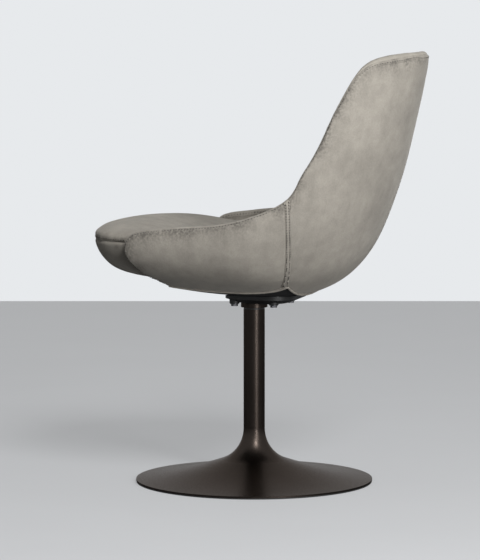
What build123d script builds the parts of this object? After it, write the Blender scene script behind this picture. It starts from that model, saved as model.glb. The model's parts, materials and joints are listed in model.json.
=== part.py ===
from build123d import *

# Swivel dining chair: an upholstered bucket shell with a loose crowned seat pad, turning on a
# column that stands on a spun trumpet base. Millimetres, +Z up. The origin is on the floor under
# the column's axis. The sitter faces -Y, and +X is at the sitter's left hand.

import os
from math import acos, asin, atan2, cos, hypot, pi, radians, sin, sqrt, tan

# ---------------------------------------------------------------- clearances
SEAT_GAP = 0.3          # between soft or curved pieces that lie against each other
RUN_GAP = 0.04          # radial, where one piece turns in another
SLIP_GAP = 0.03         # radial, where a turned piece is pushed into a tube
BOLT_GAP = 0.3          # radial, around a bolt's shank
TURN_GAP = 0.5          # between the turning seat and the standing column
BINDING_GAP = 0.9       # between the rim's binding and what it is sewn to

# ---------------------------------------------------------------- base and column
BASE_R = 222.0          # the flare's rim
FLARE_WALL = 2.5
RIM_BAND = 3.0          # height of the upright rim
RING_HEIGHT = 2.5       # elastomer ring under the rim
RING_WIDTH = 14.0
THROAT_R = 62.0             # the throat's curve, from the column down to the skirt
THROAT_TURN = 70.0          # degrees that the throat turns
THROAT_TOP = 100.0
NECK_TOP = 112.0            # the flare's straight neck ends and the column begins
RING_INSET = 0.6
PLATE_SEAT = 2.0            # the bottom plate rests this far onto the ring
COLUMN_R = 20.0
COLUMN_WALL = 2.5
COLUMN_TOP = 325.6
BALLAST_R = 186.0
BALLAST_GAP = 1.0
BALLAST_HUB_R = 34.0
BOTTOM_PLATE = 1.5
SLEEVE_FOOT = 30.0      # the joining sleeve stands on the ballast's hub
SLEEVE_ABOVE = 46.0
TIE_R = 6.0             # bolt that clamps the ballast to the sleeve
TIE_HEAD_R = 9.5
TIE_HEAD_HEIGHT = 6.0
TIE_WASHER_R = 18.0
TIE_WASHER = 2.5
TIE_SEAT = 17.0         # roof of the recess in the ballast
TIE_GRIP = 30.0         # thread inside the sleeve

# ---------------------------------------------------------------- swivel
HOUSING_LENGTH = 98.0
HOUSING_FLANGE = 3.0
HOUSING_LIP = 0.3       # the flange is this much narrower than the column
SPINDLE_R = 10.0
BUSH_WALL = 3.0
BUSH_LENGTH = 20.0
BUSH_INSET = 6.0        # lower bush, up from the housing's foot
RACE_R = 17.0
RACE_HEIGHT = 2.5
BALL_R = 2.0
BALL_COUNT = 14
CAGE_HEIGHT = 1.8
CLIP_HEIGHT = 1.6
CLIP_GROOVE = 1.5
CLIP_R = 15.0
CLIP_MOUTH = 16.0
SPINDLE_WASHER_R = 15.5
SPINDLE_WASHER = 2.0
SPINDLE_TAIL = 6.0      # shaft left below the clip
COLLAR_R = 25.0
COLLAR_TOP = 345.0
SPINDLE_TOP = 350.0

# ---------------------------------------------------------------- mounting plate and its bolts
PLATE_FRONT = -43.0
PLATE_BACK = 90.0
PLATE_HALF_WIDTH = 70.0
PLATE_CORNER = 40.0
PLATE_FOOT = 340.0
PLATE_EDGE_Z = 349.0    # the leaning sides end here
PLATE_REACH = 24.0      # blank height before the shell's belly is cut from it
PLATE_FLOOR = 4.0       # steel under the plate's hollow
PLATE_WALL = 5.0
PLATE_DRAFT = 20.0      # how far the sides lean in at the bottom
BOSS_R = 16.0
BOLT_R = 4.0
BOLT_SPACING_X = 90.0
BOLT_FRONT_Y = -22.0
BOLT_BACK_Y = 56.0
BOLT_HEAD_R = 6.5
BOLT_HEAD = 4.0
BOLT_WASHER_R = 8.5
BOLT_WASHER = 1.6
NUT_FLANGE_R = 9.0
NUT_FLANGE = 1.6
NUT_BARREL_R = 5.4
NUT_BARREL = 9.0

# ---------------------------------------------------------------- shell
# One row for each section of the shell's outer face, from the seat's front to the top of the back:
# the spine's y and z, the rim's half width, y and z, the turn of the flat belly arc, and the whole
# turn from spine to rim, in degrees.
SECTIONS = [
    (-300, 392, 214, -300, 484, 24, 96),
    (-215, 376, 226, -215, 484, 24, 98),
    (-148, 363, 236, -140, 486, 24, 100),
    (-75, 354, 246, -68, 495, 24, 100),
    (5, 351, 252, 20, 503, 24, 100),
    (60, 352, 252, 95, 521, 24, 100),
    (104, 357, 239, 157, 552, 24, 98),
    (144, 371, 225, 178, 590, 24, 95),
    (180, 394, 214, 193, 621, 24, 94),
    (213, 432, 201, 209, 658, 24, 95),
    (241, 485, 187, 225, 700, 24, 94),
    (269, 556, 171, 243, 738, 22, 90),
    (293, 635, 157, 257, 767, 20, 80),
    (311, 701, 144, 269, 784, 18, 66),
    (323, 745, 122, 284, 792, 15, 53),
    (330, 773, 90, 305, 795, 13, 41),
    (335, 793, 50, 322, 797, 10, 33),
]
SEAM_SECTION = 6        # the row where the wings are sewn to the back
STEP = 0.5              # sections are lofted at every half row
COVER = 2.0             # velvet with its thin foam backing
FOAM = 18.0
RIM_BULGE = 8.0         # the bound rim stands this far past the covers' edges
SEAM_HALF = 0.12        # half width of the sewn band, in rows
SEAM_PROUD = 0.8
HEM_X = 130.0           # half width of the dark cloth under the seat
ROD_R = 3.5             # steel rod along the rim
ROD_DROP = 8.5          # the rod's middle, below the binding's flat side
ROD_ARC_SHARE = 0.45    # share of a run that a bend takes at each end
RIB_HALF = 0.24         # half width of a rib, in rows
RIB_THICK = 3.0
RIB_DEPTH = 5.0         # of the ribs, under the shell's outer face
RIB_END = 20.0          # the ribs stop this far short of the rim
TOP_TRIM = 0.62         # rows that the foam stops short of the top, for the rod
TOP_GAP = 0.06          # rows that the covers stop short of the top
FRONT_EDGE_STEPS = 5    # stations of the binding along the wing's front edge
NOSE_STEPS = 6
NOSE_BLEND = 0.25       # radians of the nose left to the run onto the rim
NOSE_GUESS = (2.0, 1.5)     # row and turn near the nose's top, where the search starts
ROWS_PER_MM = 0.02      # about one row for each 50 mm along the shell
FRONT_GAP = 3.5         # between the bound front edge and the seat's front
NOSE_Y = -170.0         # the wings' foremost point
NOSE_Z = 446.0
NOSE_R = 40.0
NOSE_FOOT_Y = -118.0    # the wings' front edge where it meets the belly
NOSE_FOOT_Z = 362.0

# ---------------------------------------------------------------- seat
BOARD_HALF_WIDTH = 76.0
BOARD_FRONT = -100.0
BOARD_BACK = 86.0
BOARD_CORNER = 18.0
BOARD_BOTTOM = 368.0
BOARD_THICK = 12.0
PAN_STEP = 5.0          # the seat's underside lies this far inside the shell's outer face
BORDER = 2.0            # cloth on the seat's front
# Rows: height, half width, front y, front radius, corner radius of the seat's base.
BASE_LEVELS = [
    (366, 60, -130, 150, 40),
    (377, 84, -166, 150, 46),
    (386, 111, -195, 170, 58),
    (394, 143, -232, 230, 76),
    (404, 167, -257, 290, 88),
    (418, 189, -272, 340, 98),
    (436, 204, -283, 385, 105),
    (461, 211, -288, 400, 110),
]
BASE_BACK = 210.0
BASE_BACK_R = 300.0
BASE_LAST_ROW = 10.0    # the seat pieces lie in front of this row
PAD_GAP = 0.5
PAD_CENTRE = -45.0
PAD_BACK = 198.0
PAD_WAIST = 5.0         # the pad is widest this far over the seam
PAD_DRAW_IN = 0.016     # share of the outline that is drawn in at the seam
PAD_CROWN = 28.5
PAD_CROWN_STEPS = 6
PAD_CROWN_REACH = 0.5   # share of the pad's half width over which the crown rises
PAD_SKIN = 1.6


def natural_spline(rows):
    """A smooth curve through the rows, as a function of the row's number."""
    count, width = len(rows), len(rows[0])
    bend = [[0.0] * width for _ in range(count)]
    for k in range(width):
        gain, part = [0.0] * count, [0.0] * count
        for i in range(1, count - 1):
            pull = 6 * (rows[i + 1][k] - 2 * rows[i][k] + rows[i - 1][k])
            pivot = 4 - gain[i - 1]
            gain[i] = 1 / pivot
            part[i] = (pull - part[i - 1]) / pivot
        for i in range(count - 2, 0, -1):
            bend[i][k] = part[i] - gain[i] * bend[i + 1][k]

    def at(t):
        i = min(max(int(t), 0), count - 2)
        b = t - i
        a = 1 - b
        return [
            a * rows[i][k] + b * rows[i + 1][k]
            + ((a**3 - a) * bend[i][k] + (b**3 - b) * bend[i + 1][k]) / 6
            for k in range(width)
        ]

    return at


shell_row = natural_spline(SECTIONS)
LAST = len(SECTIONS) - 1


class Section:
    """One section of the shell: a belly arc, and on each side an arc up to the rim."""

    def __init__(self, t):
        spine_y, spine_z, rim_x, rim_y, rim_z, belly, wrap = shell_row(t)
        height = hypot(rim_y - spine_y, rim_z - spine_z)
        self.base = Vector(0, spine_y, spine_z)
        self.up = Vector(0, (rim_y - spine_y) / height, (rim_z - spine_z) / height)
        self.belly, self.wrap = radians(belly), radians(wrap)
        a, b = sin(self.belly), sin(self.wrap) - sin(self.belly)
        c, d = 1 - cos(self.belly), cos(self.belly) - cos(self.wrap)
        self.belly_r = (rim_x * d - height * b) / (a * d - b * c)
        self.side_r = (a * height - c * rim_x) / (a * d - b * c)

    def point(self, angle, depth):
        """The point at this turn from the spine (+ towards +X), this deep under the outer face."""
        turn = abs(angle)
        shift = self.belly_r - self.side_r
        if turn <= self.belly:
            x = (self.belly_r - depth) * sin(turn)
            z = self.belly_r - (self.belly_r - depth) * cos(turn)
        else:
            x = shift * sin(self.belly) + (self.side_r - depth) * sin(turn)
            z = self.belly_r - shift * cos(self.belly) - (self.side_r - depth) * cos(turn)
        return self.base + self.up * z + Vector(x if angle >= 0 else -x, 0, 0)

    def edge_angle(self, margin):
        """The turn at which a cover ends, this far short of the rim."""
        return self.wrap - margin / self.side_r

    def arcs(self, start, end, depth):
        """Arcs along the section from one turn to another."""
        breaks = [b for b in (-self.belly, self.belly) if start < b < end]
        stops = [start, *breaks, end]
        return [
            Edge.make_three_point_arc(
                self.point(p, depth), self.point((p + q) / 2, depth), self.point(q, depth)
            )
            for p, q in zip(stops, stops[1:])
        ]

    def band(self, start, end, outer, inner):
        """A closed outline between two depths."""
        far, near = self.arcs(start, end, outer), self.arcs(start, end, inner)
        ends = [
            Edge.make_line(self.point(angle, outer), self.point(angle, inner))
            for angle in (start, end)
        ]
        return Wire([*far, *near, *ends])

    def filled(self, depth):
        """The whole space inside the section, closed by a line from rim to rim."""
        angle = self.edge_angle(0)
        lid = Edge.make_line(self.point(-angle, depth), self.point(angle, depth))
        return Wire([*self.arcs(-angle, angle, depth), lid])


def rows_between(first, last):
    """Row numbers for a loft, with both ends and every half row between them."""
    inner = [k * STEP for k in range(1, int(LAST / STEP)) if first + 0.15 < k * STEP < last - 0.15]
    return [first, *inner, last]


def shell_loft(first, last, outer, inner, start=None, end=None):
    """A layer of the shell. start and end give the turn at each section; both rims otherwise."""
    wires = []
    for t in rows_between(first, last):
        section = Section(t)
        rim = section.edge_angle(COVER_MARGIN)
        low = -rim if start is None else start(section)
        high = rim if end is None else end(section)
        wires.append(section.band(low, high, outer, inner))
    return Solid.make_loft(wires)


def inside_shell(depth, first=0, last=LAST):
    """The space inside the shell, from this deep under its outer face."""
    return Solid.make_loft([Section(t).filled(depth) for t in rows_between(first, last)])


def hem_angle(section):
    return asin(HEM_X / section.belly_r)


def nose_outline(inset):
    """Side view of the wings' front edge: a rounded nose, then a straight edge down to the belly."""
    radius = NOSE_R - inset
    centre_y, centre_z = NOSE_Y + NOSE_R, NOSE_Z
    foot = (NOSE_FOOT_Y, NOSE_FOOT_Z)
    run_y, run_z = foot[0] - centre_y, foot[1] - centre_z
    reach = hypot(run_y, run_z)
    lean = atan2(run_z, run_y) - acos(NOSE_R / reach)
    touch = (centre_y + radius * cos(lean), centre_z + radius * sin(lean))
    slide = sqrt(reach**2 - NOSE_R**2)
    low = (touch[0] - slide * sin(lean), touch[1] + slide * cos(lean))
    return (centre_y, centre_z), radius, lean, touch, low


def ahead_of_shell(inset):
    """Everything in front of the wings' front edge."""
    (cy, cz), radius, lean, touch, low = nose_outline(inset)
    mid = (lean + 2 * pi + pi / 2) / 2
    top = (cy, cz + radius)
    down = (low[0] + (low[0] - touch[0]), low[1] + (low[1] - touch[1]))
    over, front = cz + 300, cy - 300
    points = [top, (cy, over), (front, over), (front, down[1]), down, touch]
    edges = [
        Edge.make_line((0, *p), (0, *q)) for p, q in zip(points, points[1:])
    ]
    bow = (0, cy + radius * cos(mid), cz + radius * sin(mid))
    edges.append(Edge.make_three_point_arc((0, *touch), bow, (0, *top)))
    face = Face(Wire(edges))
    return Solid.extrude(face.moved(Location((-400, 0, 0))), Vector(800, 0, 0))


def behind_front_edge(body, inset):
    """What is left of an inner layer behind the wings' front edge, which follows the shell's slope:
    the lower part of the edge falls back as it goes deeper."""
    cutter = ahead_of_shell(inset)
    return body - cutter - cutter.moved(Location((0, 0, THICK)))


# ---------------------------------------------------------------- derived levels of the shell
LINING_OUT = COVER + SEAT_GAP + FOAM + SEAT_GAP
THICK = LINING_OUT + COVER
COVER_MARGIN = RIM_BULGE + BINDING_GAP
FOAM_MARGIN = RIM_BULGE + ROD_DROP + ROD_R + BINDING_GAP
CAVITY = THICK + SEAT_GAP
SEAM_Z = BASE_LEVELS[-1][0]


def bar(r, low, high, x=0.0, y=0.0):
    """An upright round bar between two heights."""
    return Solid.make_cylinder(r, high - low, Plane((x, y, low)))


def ring(outer, inner, low, high, x=0.0, y=0.0):
    return bar(outer, low, high, x, y) - bar(inner, low - 1, high + 1, x, y)


def hexagon(across_corner_r, low, high, x=0.0, y=0.0):
    outline = RegularPolygon(across_corner_r, 6).face().moved(Location((x, y, low)))
    return Solid.extrude(outline, Vector(0, 0, high - low))


def spun(edges):
    """A closed outline in the XZ plane, turned round the column's axis."""
    return Solid.revolve(Face(Wire(edges)), 360, Axis.Z)


def rounded_slab(half_width, front, back, corner, low, high):
    """An upright slab with rounded corners in plan."""
    face = RectangleRounded(2 * half_width, back - front, corner).face()
    face = face.moved(Location((0, (front + back) / 2, low)))
    return Solid.extrude(face, Vector(0, 0, high - low))


# ---------------------------------------------------------------- base
PLATE_TOP = RING_HEIGHT + BOTTOM_PLATE
RIM_TOP = RING_HEIGHT + RIM_BAND
THROAT_TURN_R = radians(THROAT_TURN)
SKIRT_START = (
    COLUMN_R + THROAT_R * (1 - cos(THROAT_TURN_R)),
    THROAT_TOP - THROAT_R * sin(THROAT_TURN_R),
)


def skirt_circle():
    """Centre and radius of the skirt's arc, from the throat's end to the rim's top edge."""
    run = BASE_R - SKIRT_START[0], RIM_TOP - SKIRT_START[1]
    normal = cos(THROAT_TURN_R), sin(THROAT_TURN_R)
    radius = (run[0]**2 + run[1]**2) / (2 * (run[0] * normal[0] + run[1] * normal[1]))
    return (SKIRT_START[0] + radius * normal[0], SKIRT_START[1] + radius * normal[1]), radius


def flare_edges(depth, reach):
    """The flare's curve this far under its outer face, from the throat's top to this radius."""
    (cx, cz), radius = skirt_circle()
    radius += depth
    throat = THROAT_R + depth

    def throat_point(turn):
        return (COLUMN_R + THROAT_R - throat * cos(turn), 0, THROAT_TOP - throat * sin(turn))

    def skirt_point(r):
        return (r, 0, cz - sqrt(radius**2 - (r - cx)**2))

    start = throat_point(THROAT_TURN_R)
    return [
        Edge.make_three_point_arc(throat_point(0), throat_point(THROAT_TURN_R / 2), start),
        Edge.make_three_point_arc(start, skirt_point((start[0] + reach) / 2), skirt_point(reach)),
    ]


def chain(points):
    return [Edge.make_line(p, q) for p, q in zip(points, points[1:])]


def end_of(edges):
    return tuple(edges[-1] @ 1)


def start_of(edges):
    return tuple(edges[0] @ 0)


def base_flare():
    outer = flare_edges(0, BASE_R)
    inner = flare_edges(FLARE_WALL, BASE_R - FLARE_WALL)
    bore = COLUMN_R - FLARE_WALL
    neck = chain([start_of(inner), (bore, 0, NECK_TOP), (COLUMN_R, 0, NECK_TOP), start_of(outer)])
    rim = chain([
        end_of(outer),
        (BASE_R, 0, RING_HEIGHT),
        (BASE_R - FLARE_WALL, 0, RING_HEIGHT),
        end_of(inner),
    ])
    return spun([*outer, *inner, *neck, *rim])


def floor_ring():
    return ring(BASE_R - RING_INSET, BASE_R - RING_WIDTH, 0, RING_HEIGHT)


def base_bottom_plate():
    return bar(BASE_R - RING_WIDTH + PLATE_SEAT, RING_HEIGHT, PLATE_TOP)


def ballast_plate():
    """A cast weight that fills the skirt, with a flat hub under the column's foot."""
    top = flare_edges(FLARE_WALL + BALLAST_GAP, BALLAST_R)[-1:]
    hub_z = start_of(top)[2]
    sides = chain([
        end_of(top),
        (BALLAST_R, 0, PLATE_TOP),
        (0, 0, PLATE_TOP),
        (0, 0, hub_z),
        start_of(top),
    ])
    body = spun([*top, *sides])
    seat = bar(BALLAST_HUB_R, SLEEVE_FOOT, hub_z + 1)
    recess = bar(TIE_WASHER_R + BOLT_GAP, PLATE_TOP - 1, TIE_SEAT)
    return body - seat - recess - bar(TIE_R + BOLT_GAP, 0, hub_z + 1)


def neck_sleeve():
    """A turned post that joins the flare's neck and the column, tapped for the tie bolt."""
    body = bar(COLUMN_R - COLUMN_WALL - SLIP_GAP, SLEEVE_FOOT, NECK_TOP + SLEEVE_ABOVE)
    return body - bar(TIE_R + SLIP_GAP, SLEEVE_FOOT - 1, SLEEVE_FOOT + TIE_GRIP + SEAT_GAP)


def base_tie_washer():
    return ring(TIE_WASHER_R, TIE_R + BOLT_GAP, TIE_SEAT - TIE_WASHER, TIE_SEAT)


def base_tie_bolt():
    head_top = TIE_SEAT - TIE_WASHER
    head = hexagon(TIE_HEAD_R, head_top - TIE_HEAD_HEIGHT, head_top)
    return head + bar(TIE_R, head_top - 1, SLEEVE_FOOT + TIE_GRIP)


def column_tube():
    return ring(COLUMN_R, COLUMN_R - COLUMN_WALL, NECK_TOP, COLUMN_TOP)


# ---------------------------------------------------------------- swivel
HOUSING_FOOT = COLUMN_TOP - HOUSING_LENGTH
DECK = COLUMN_TOP + HOUSING_FLANGE
BALL_LOW = DECK + RACE_HEIGHT
BALL_TOP = BALL_LOW + 2 * BALL_R
RACE_TOP = BALL_TOP + RUN_GAP + RACE_HEIGHT
BUSH_R = SPINDLE_R + RUN_GAP + BUSH_WALL
LOWER_BUSH_FOOT = HOUSING_FOOT + BUSH_INSET
CLIP_TOP = HOUSING_FOOT - SPINDLE_WASHER - RUN_GAP
SPINDLE_FOOT = CLIP_TOP - CLIP_HEIGHT - SPINDLE_TAIL
BALL_CIRCLE = (RACE_R + SPINDLE_R) / 2


def bearing_housing():
    body = bar(COLUMN_R - COLUMN_WALL - SLIP_GAP, HOUSING_FOOT, DECK)
    body += bar(COLUMN_R - HOUSING_LIP, COLUMN_TOP, DECK)
    body -= bar(SPINDLE_R + 1, HOUSING_FOOT - 1, DECK + 1)
    body -= bar(BUSH_R, DECK - BUSH_LENGTH, DECK + 1)
    return body - bar(BUSH_R, HOUSING_FOOT - 1, LOWER_BUSH_FOOT + BUSH_LENGTH)


def bush(foot):
    return ring(BUSH_R, SPINDLE_R + RUN_GAP, foot, foot + BUSH_LENGTH)


def thrust_race(low):
    return ring(RACE_R, SPINDLE_R + BOLT_GAP, low, low + RACE_HEIGHT)


def ball_places():
    for k in range(BALL_COUNT):
        turn = 2 * pi * k / BALL_COUNT
        yield Vector(BALL_CIRCLE * cos(turn), BALL_CIRCLE * sin(turn), BALL_LOW + BALL_R)


def thrust_balls():
    return Compound([Solid.make_sphere(BALL_R).moved(Location(p)) for p in ball_places()])


def thrust_cage():
    middle = BALL_LOW + BALL_R
    body = ring(RACE_R - 0.5, SPINDLE_R + 0.8, middle - CAGE_HEIGHT / 2, middle + CAGE_HEIGHT / 2)
    for place in ball_places():
        body -= bar(BALL_R + RUN_GAP, middle - 3, middle + 3, place.X, place.Y)
    return body


def swivel_spindle():
    groove = ring(SPINDLE_R + 1, SPINDLE_R - CLIP_GROOVE, CLIP_TOP - CLIP_HEIGHT, CLIP_TOP)
    return bar(SPINDLE_R, SPINDLE_FOOT, SPINDLE_TOP) - groove


def spindle_washer():
    return ring(SPINDLE_WASHER_R, SPINDLE_R + RUN_GAP, CLIP_TOP, CLIP_TOP + SPINDLE_WASHER)


def spindle_clip():
    body = ring(CLIP_R, SPINDLE_R - CLIP_GROOVE, CLIP_TOP - CLIP_HEIGHT, CLIP_TOP)
    mouth = Solid.make_box(CLIP_MOUTH, 2 * CLIP_R, 2 * CLIP_HEIGHT)
    return body - mouth.moved(Location((-CLIP_MOUTH / 2, 0, CLIP_TOP - 1.5 * CLIP_HEIGHT)))


def hub_collar():
    """A cup over the thrust bearing, pressed on the spindle."""
    body = ring(COLLAR_R, SPINDLE_R, DECK + TURN_GAP, COLLAR_TOP)
    return body - bar(RACE_R + SLIP_GAP, DECK, RACE_TOP)


# ---------------------------------------------------------------- mounting plate
BOLTS = [
    (side * BOLT_SPACING_X / 2, y) for y in (BOLT_FRONT_Y, BOLT_BACK_Y) for side in (-1, 1)
]
WASHER_FOOT = PLATE_FOOT - BOLT_WASHER


def plate_block(inset, low, wall_top):
    """The pressed plate's outline: sides that lean out to its edge, then upright sides."""
    span = dict(half=PLATE_HALF_WIDTH - inset, front=PLATE_FRONT + inset, back=PLATE_BACK - inset)

    def outline(lean, z):
        face = RectangleRounded(
            2 * (span["half"] - lean), span["back"] - span["front"] - 2 * lean, PLATE_CORNER - inset
        ).face()
        return face.moved(Location((0, (span["front"] + span["back"]) / 2, z))).outer_wire()

    edge = PLATE_EDGE_Z + low - PLATE_FOOT
    wires = [outline(PLATE_DRAFT, low), outline(0, edge), outline(0, wall_top)]
    return Solid.make_loft(wires, True)


def mounting_plate():
    body = plate_block(0, PLATE_FOOT, PLATE_FOOT + PLATE_REACH)
    for x, y in BOLTS:
        body += bar(BOLT_WASHER_R + 1, PLATE_FOOT, PLATE_FOOT + PLATE_REACH, x, y)
    hollow = plate_block(PLATE_WALL, PLATE_FOOT + PLATE_FLOOR, PLATE_FOOT + PLATE_REACH + 1)
    hollow -= bar(COLLAR_R + PLATE_WALL, PLATE_FOOT, PLATE_FOOT + PLATE_REACH + 1)
    for x, y in BOLTS:
        hollow -= bar(BOSS_R, PLATE_FOOT, PLATE_FOOT + PLATE_REACH + 1, x, y)
    body = body - hollow - bar(COLLAR_R, PLATE_FOOT - 1, COLLAR_TOP)
    body -= bar(SPINDLE_R, PLATE_FOOT, SPINDLE_TOP + 20)
    for x, y in BOLTS:
        body -= bar(BOLT_R + BOLT_GAP, PLATE_FOOT - 1, PLATE_FOOT + PLATE_REACH, x, y)
    return body - inside_shell(-SEAT_GAP, 2, SEAM_SECTION + 1)


def mount_bolts():
    head_foot = WASHER_FOOT - BOLT_HEAD
    nut_top = BOARD_BOTTOM + BOARD_THICK
    return Compound([
        hexagon(BOLT_HEAD_R, head_foot, WASHER_FOOT, x, y) + bar(BOLT_R, head_foot, nut_top, x, y)
        for x, y in BOLTS
    ])


def mount_washers():
    return Compound([
        ring(BOLT_WASHER_R, BOLT_R + BOLT_GAP, WASHER_FOOT, PLATE_FOOT, x, y) for x, y in BOLTS
    ])


def mount_nuts():
    """Flanged nuts sunk into the seat board from above."""
    top = BOARD_BOTTOM + BOARD_THICK
    return Compound([
        ring(NUT_FLANGE_R, BOLT_R + RUN_GAP, top, top + NUT_FLANGE, x, y)
        + ring(NUT_BARREL_R, BOLT_R + RUN_GAP, top - NUT_BARREL, top, x, y)
        for x, y in BOLTS
    ])


def seat_board():
    top = BOARD_BOTTOM + BOARD_THICK
    body = rounded_slab(
        BOARD_HALF_WIDTH, BOARD_FRONT, BOARD_BACK, BOARD_CORNER, BOARD_BOTTOM, top
    )
    for x, y in BOLTS:
        body -= bar(BOLT_R + BOLT_GAP, BOARD_BOTTOM - 1, top, x, y)
        body -= bar(NUT_BARREL_R + RUN_GAP, top - NUT_BARREL - RUN_GAP, top + 1, x, y)
    return body


def board_space():
    """The room that the foam and the lining leave for the board and its nuts."""
    gap = SEAT_GAP
    top = BOARD_BOTTOM + BOARD_THICK
    body = rounded_slab(
        BOARD_HALF_WIDTH + gap, BOARD_FRONT - gap, BOARD_BACK + gap, BOARD_CORNER,
        BOARD_BOTTOM - gap, top + gap,
    )
    for x, y in BOLTS:
        body += bar(NUT_FLANGE_R + gap, top, top + NUT_FLANGE + gap, x, y)
    return body


def drill_bolts(body, low=WASHER_FOOT, high=BOARD_BOTTOM + BOARD_THICK):
    for x, y in BOLTS:
        body -= bar(BOLT_R + BOLT_GAP, low, high, x, y)
    return body


# ---------------------------------------------------------------- shell pieces
def row_at_spine(y):
    """The row number where the spine passes this y."""
    low, high = 0.0, float(LAST)
    while high - low > 1e-6:
        middle = (low + high) / 2
        if shell_row(middle)[0] < y:
            low = middle
        else:
            high = middle
    return low


def steel_rib(y, gap=0.0):
    """A flat strap bent along the shell's section over a pair of bolts."""
    row = row_at_spine(y)
    half = RIB_HALF + gap * ROWS_PER_MM
    return shell_loft(
        row - half, row + half, RIB_DEPTH - gap, RIB_DEPTH + RIB_THICK + gap,
        lambda s: -s.edge_angle(RIB_END - gap), lambda s: s.edge_angle(RIB_END - gap),
    )


def shell_foam():
    def rim(section):
        return section.edge_angle(FOAM_MARGIN)

    body = shell_loft(
        1, LAST - TOP_TRIM, COVER + SEAT_GAP, LINING_OUT - SEAT_GAP, lambda s: -rim(s), rim
    )
    body = drill_bolts(behind_front_edge(body, FOAM_MARGIN) - board_space())
    body = body - steel_rib(BOLT_FRONT_Y, SEAT_GAP) - steel_rib(BOLT_BACK_Y, SEAT_GAP)
    return body - rod_tube(ROD_R + SEAT_GAP)


def rib_with_holes(y):
    return drill_bolts(steel_rib(y))


def inner_lining():
    body = shell_loft(1, LAST - TOP_GAP, LINING_OUT, THICK)
    return behind_front_edge(body, COVER_MARGIN) - board_space()


def wing_cover():
    """The outer cover of the wing on the +X side."""
    body = shell_loft(
        1, SEAM_SECTION - SEAM_HALF, 0, COVER, lambda s: asin((HEM_X + SEAT_GAP) / s.belly_r)
    )
    return body - ahead_of_shell(COVER_MARGIN)


def under_cover():
    body = shell_loft(1, SEAM_SECTION + SEAM_HALF, 0, COVER, lambda s: -hem_angle(s), hem_angle)
    return drill_bolts(body - ahead_of_shell(COVER_MARGIN))


def back_cover():
    return shell_loft(SEAM_SECTION + SEAM_HALF, LAST - TOP_GAP, 0, COVER)


def side_seam():
    """The flat sewn band between wing and back on the +X side, a little proud of both."""
    return shell_loft(
        SEAM_SECTION - SEAM_HALF,
        SEAM_SECTION + SEAM_HALF,
        -SEAM_PROUD,
        COVER,
        lambda s: asin((HEM_X + SEAT_GAP) / s.belly_r),
    )


def mirrored(body):
    return body.mirror(Plane.YZ)


# ---------------------------------------------------------------- bound rim and its rod
def place_on_shell(y, z, guess):
    """The row and turn at which the shell's outer face passes this y and z on the +X side."""
    t, turn = guess
    step = 1e-4
    for _ in range(30):
        here = Section(t).point(turn, 0)
        by_t = (Section(t + step).point(turn, 0) - here) / step
        by_turn = (Section(t).point(turn + step, 0) - here) / step
        det = by_t.Y * by_turn.Z - by_turn.Y * by_t.Z
        off_y, off_z = y - here.Y, z - here.Z
        t += (off_y * by_turn.Z - off_z * by_turn.Y) / det
        turn += (off_z * by_t.Y - off_y * by_t.Z) / det
    return t, turn


def rim_path():
    """Rows and turns along the covers' edge: front edge, nose, rim, top, and down the far side."""
    (cy, cz), radius, lean, touch, low = nose_outline(RIM_BULGE)
    guess = NOSE_GUESS
    front = []
    turn_from, turn_to = pi / 2 + NOSE_BLEND, lean + 2 * pi
    for k in range(NOSE_STEPS + 1):
        turn = turn_from + (turn_to - turn_from) * k / NOSE_STEPS
        guess = place_on_shell(cy + radius * cos(turn), cz + radius * sin(turn), guess)
        front.append(guess)
    for k in range(1, FRONT_EDGE_STEPS):
        share = k / FRONT_EDGE_STEPS
        y = touch[0] + (low[0] - touch[0]) * share
        z = touch[1] + (low[1] - touch[1]) * share
        guess = place_on_shell(y, z, guess)
        if Section(guess[0]).point(guess[1], 0).X < HEM_X:
            break
        front.append(guess)
    start = int(front[0][0] / STEP + 1.4) * STEP
    rows = [start + STEP * k for k in range(int((LAST - start) / STEP) + 1)]
    path = front[::-1] + [(t, Section(t).edge_angle(RIM_BULGE)) for t in rows]
    top = path[-1][1]
    over = [(LAST, top * share) for share in (0.5, 0, -0.5)]
    return path + over + [(t, -turn) for t, turn in reversed(path)]


def rim_frames():
    """Point, depth direction and outward direction along the rim."""
    path = rim_path()
    points = [Section(t).point(turn, THICK / 2) for t, turn in path]
    frames = []
    for i, (t, turn) in enumerate(path):
        section = Section(t)
        depth = (section.point(turn, THICK) - section.point(turn, 0)).normalized()
        ahead, behind = points[min(i + 1, len(path) - 1)], points[max(i - 1, 0)]
        out = (ahead - behind).cross(depth).normalized()
        frames.append((points[i], depth, out))
    return frames


def rod_points():
    """The rod's middle, below the binding's flat side and half way between cover and lining."""
    step = 1e-3
    points = []
    for (t, turn), (centre, _, out) in zip(rim_path(), rim_frames()):
        by_row = Section(t).point(turn, THICK / 2) - Section(t - step).point(turn, THICK / 2)
        by_turn = Section(t).point(turn + step, THICK / 2) - Section(t).point(turn, THICK / 2)
        square = by_row.cross(by_turn).normalized()
        along_shell = (out - square * out.dot(square)).normalized()
        points.append(centre - along_shell * ROD_DROP)
    return points


def rod_tube(radius):
    """A tube of this radius along the rod's path: straight runs joined by tangent arcs. The station
    at the back's top corner is left out, so that the rod rounds it."""
    points = rod_points()
    middle = len(points) // 2
    half = points[:middle - 2] + [points[middle - 1]]
    points = half + [points[middle]] + [Vector(-p.X, p.Y, p.Z) for p in reversed(half)]
    radii = []
    for before, here, after in zip(points, points[1:], points[2:]):
        run = min((here - before).length, (after - here).length)
        turn = radians((here - before).get_angle(after - here))
        radii.append(ROD_ARC_SHARE * run / tan(turn / 2))
    path = FilletPolyline(*points, radius=radii)
    return sweep(Plane(path @ 0, z_dir=path % 0) * Circle(radius), path).solid()


def rim_rod():
    """The shell's frame: one bent steel rod that follows the whole rim."""
    return rod_tube(ROD_R)


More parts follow.
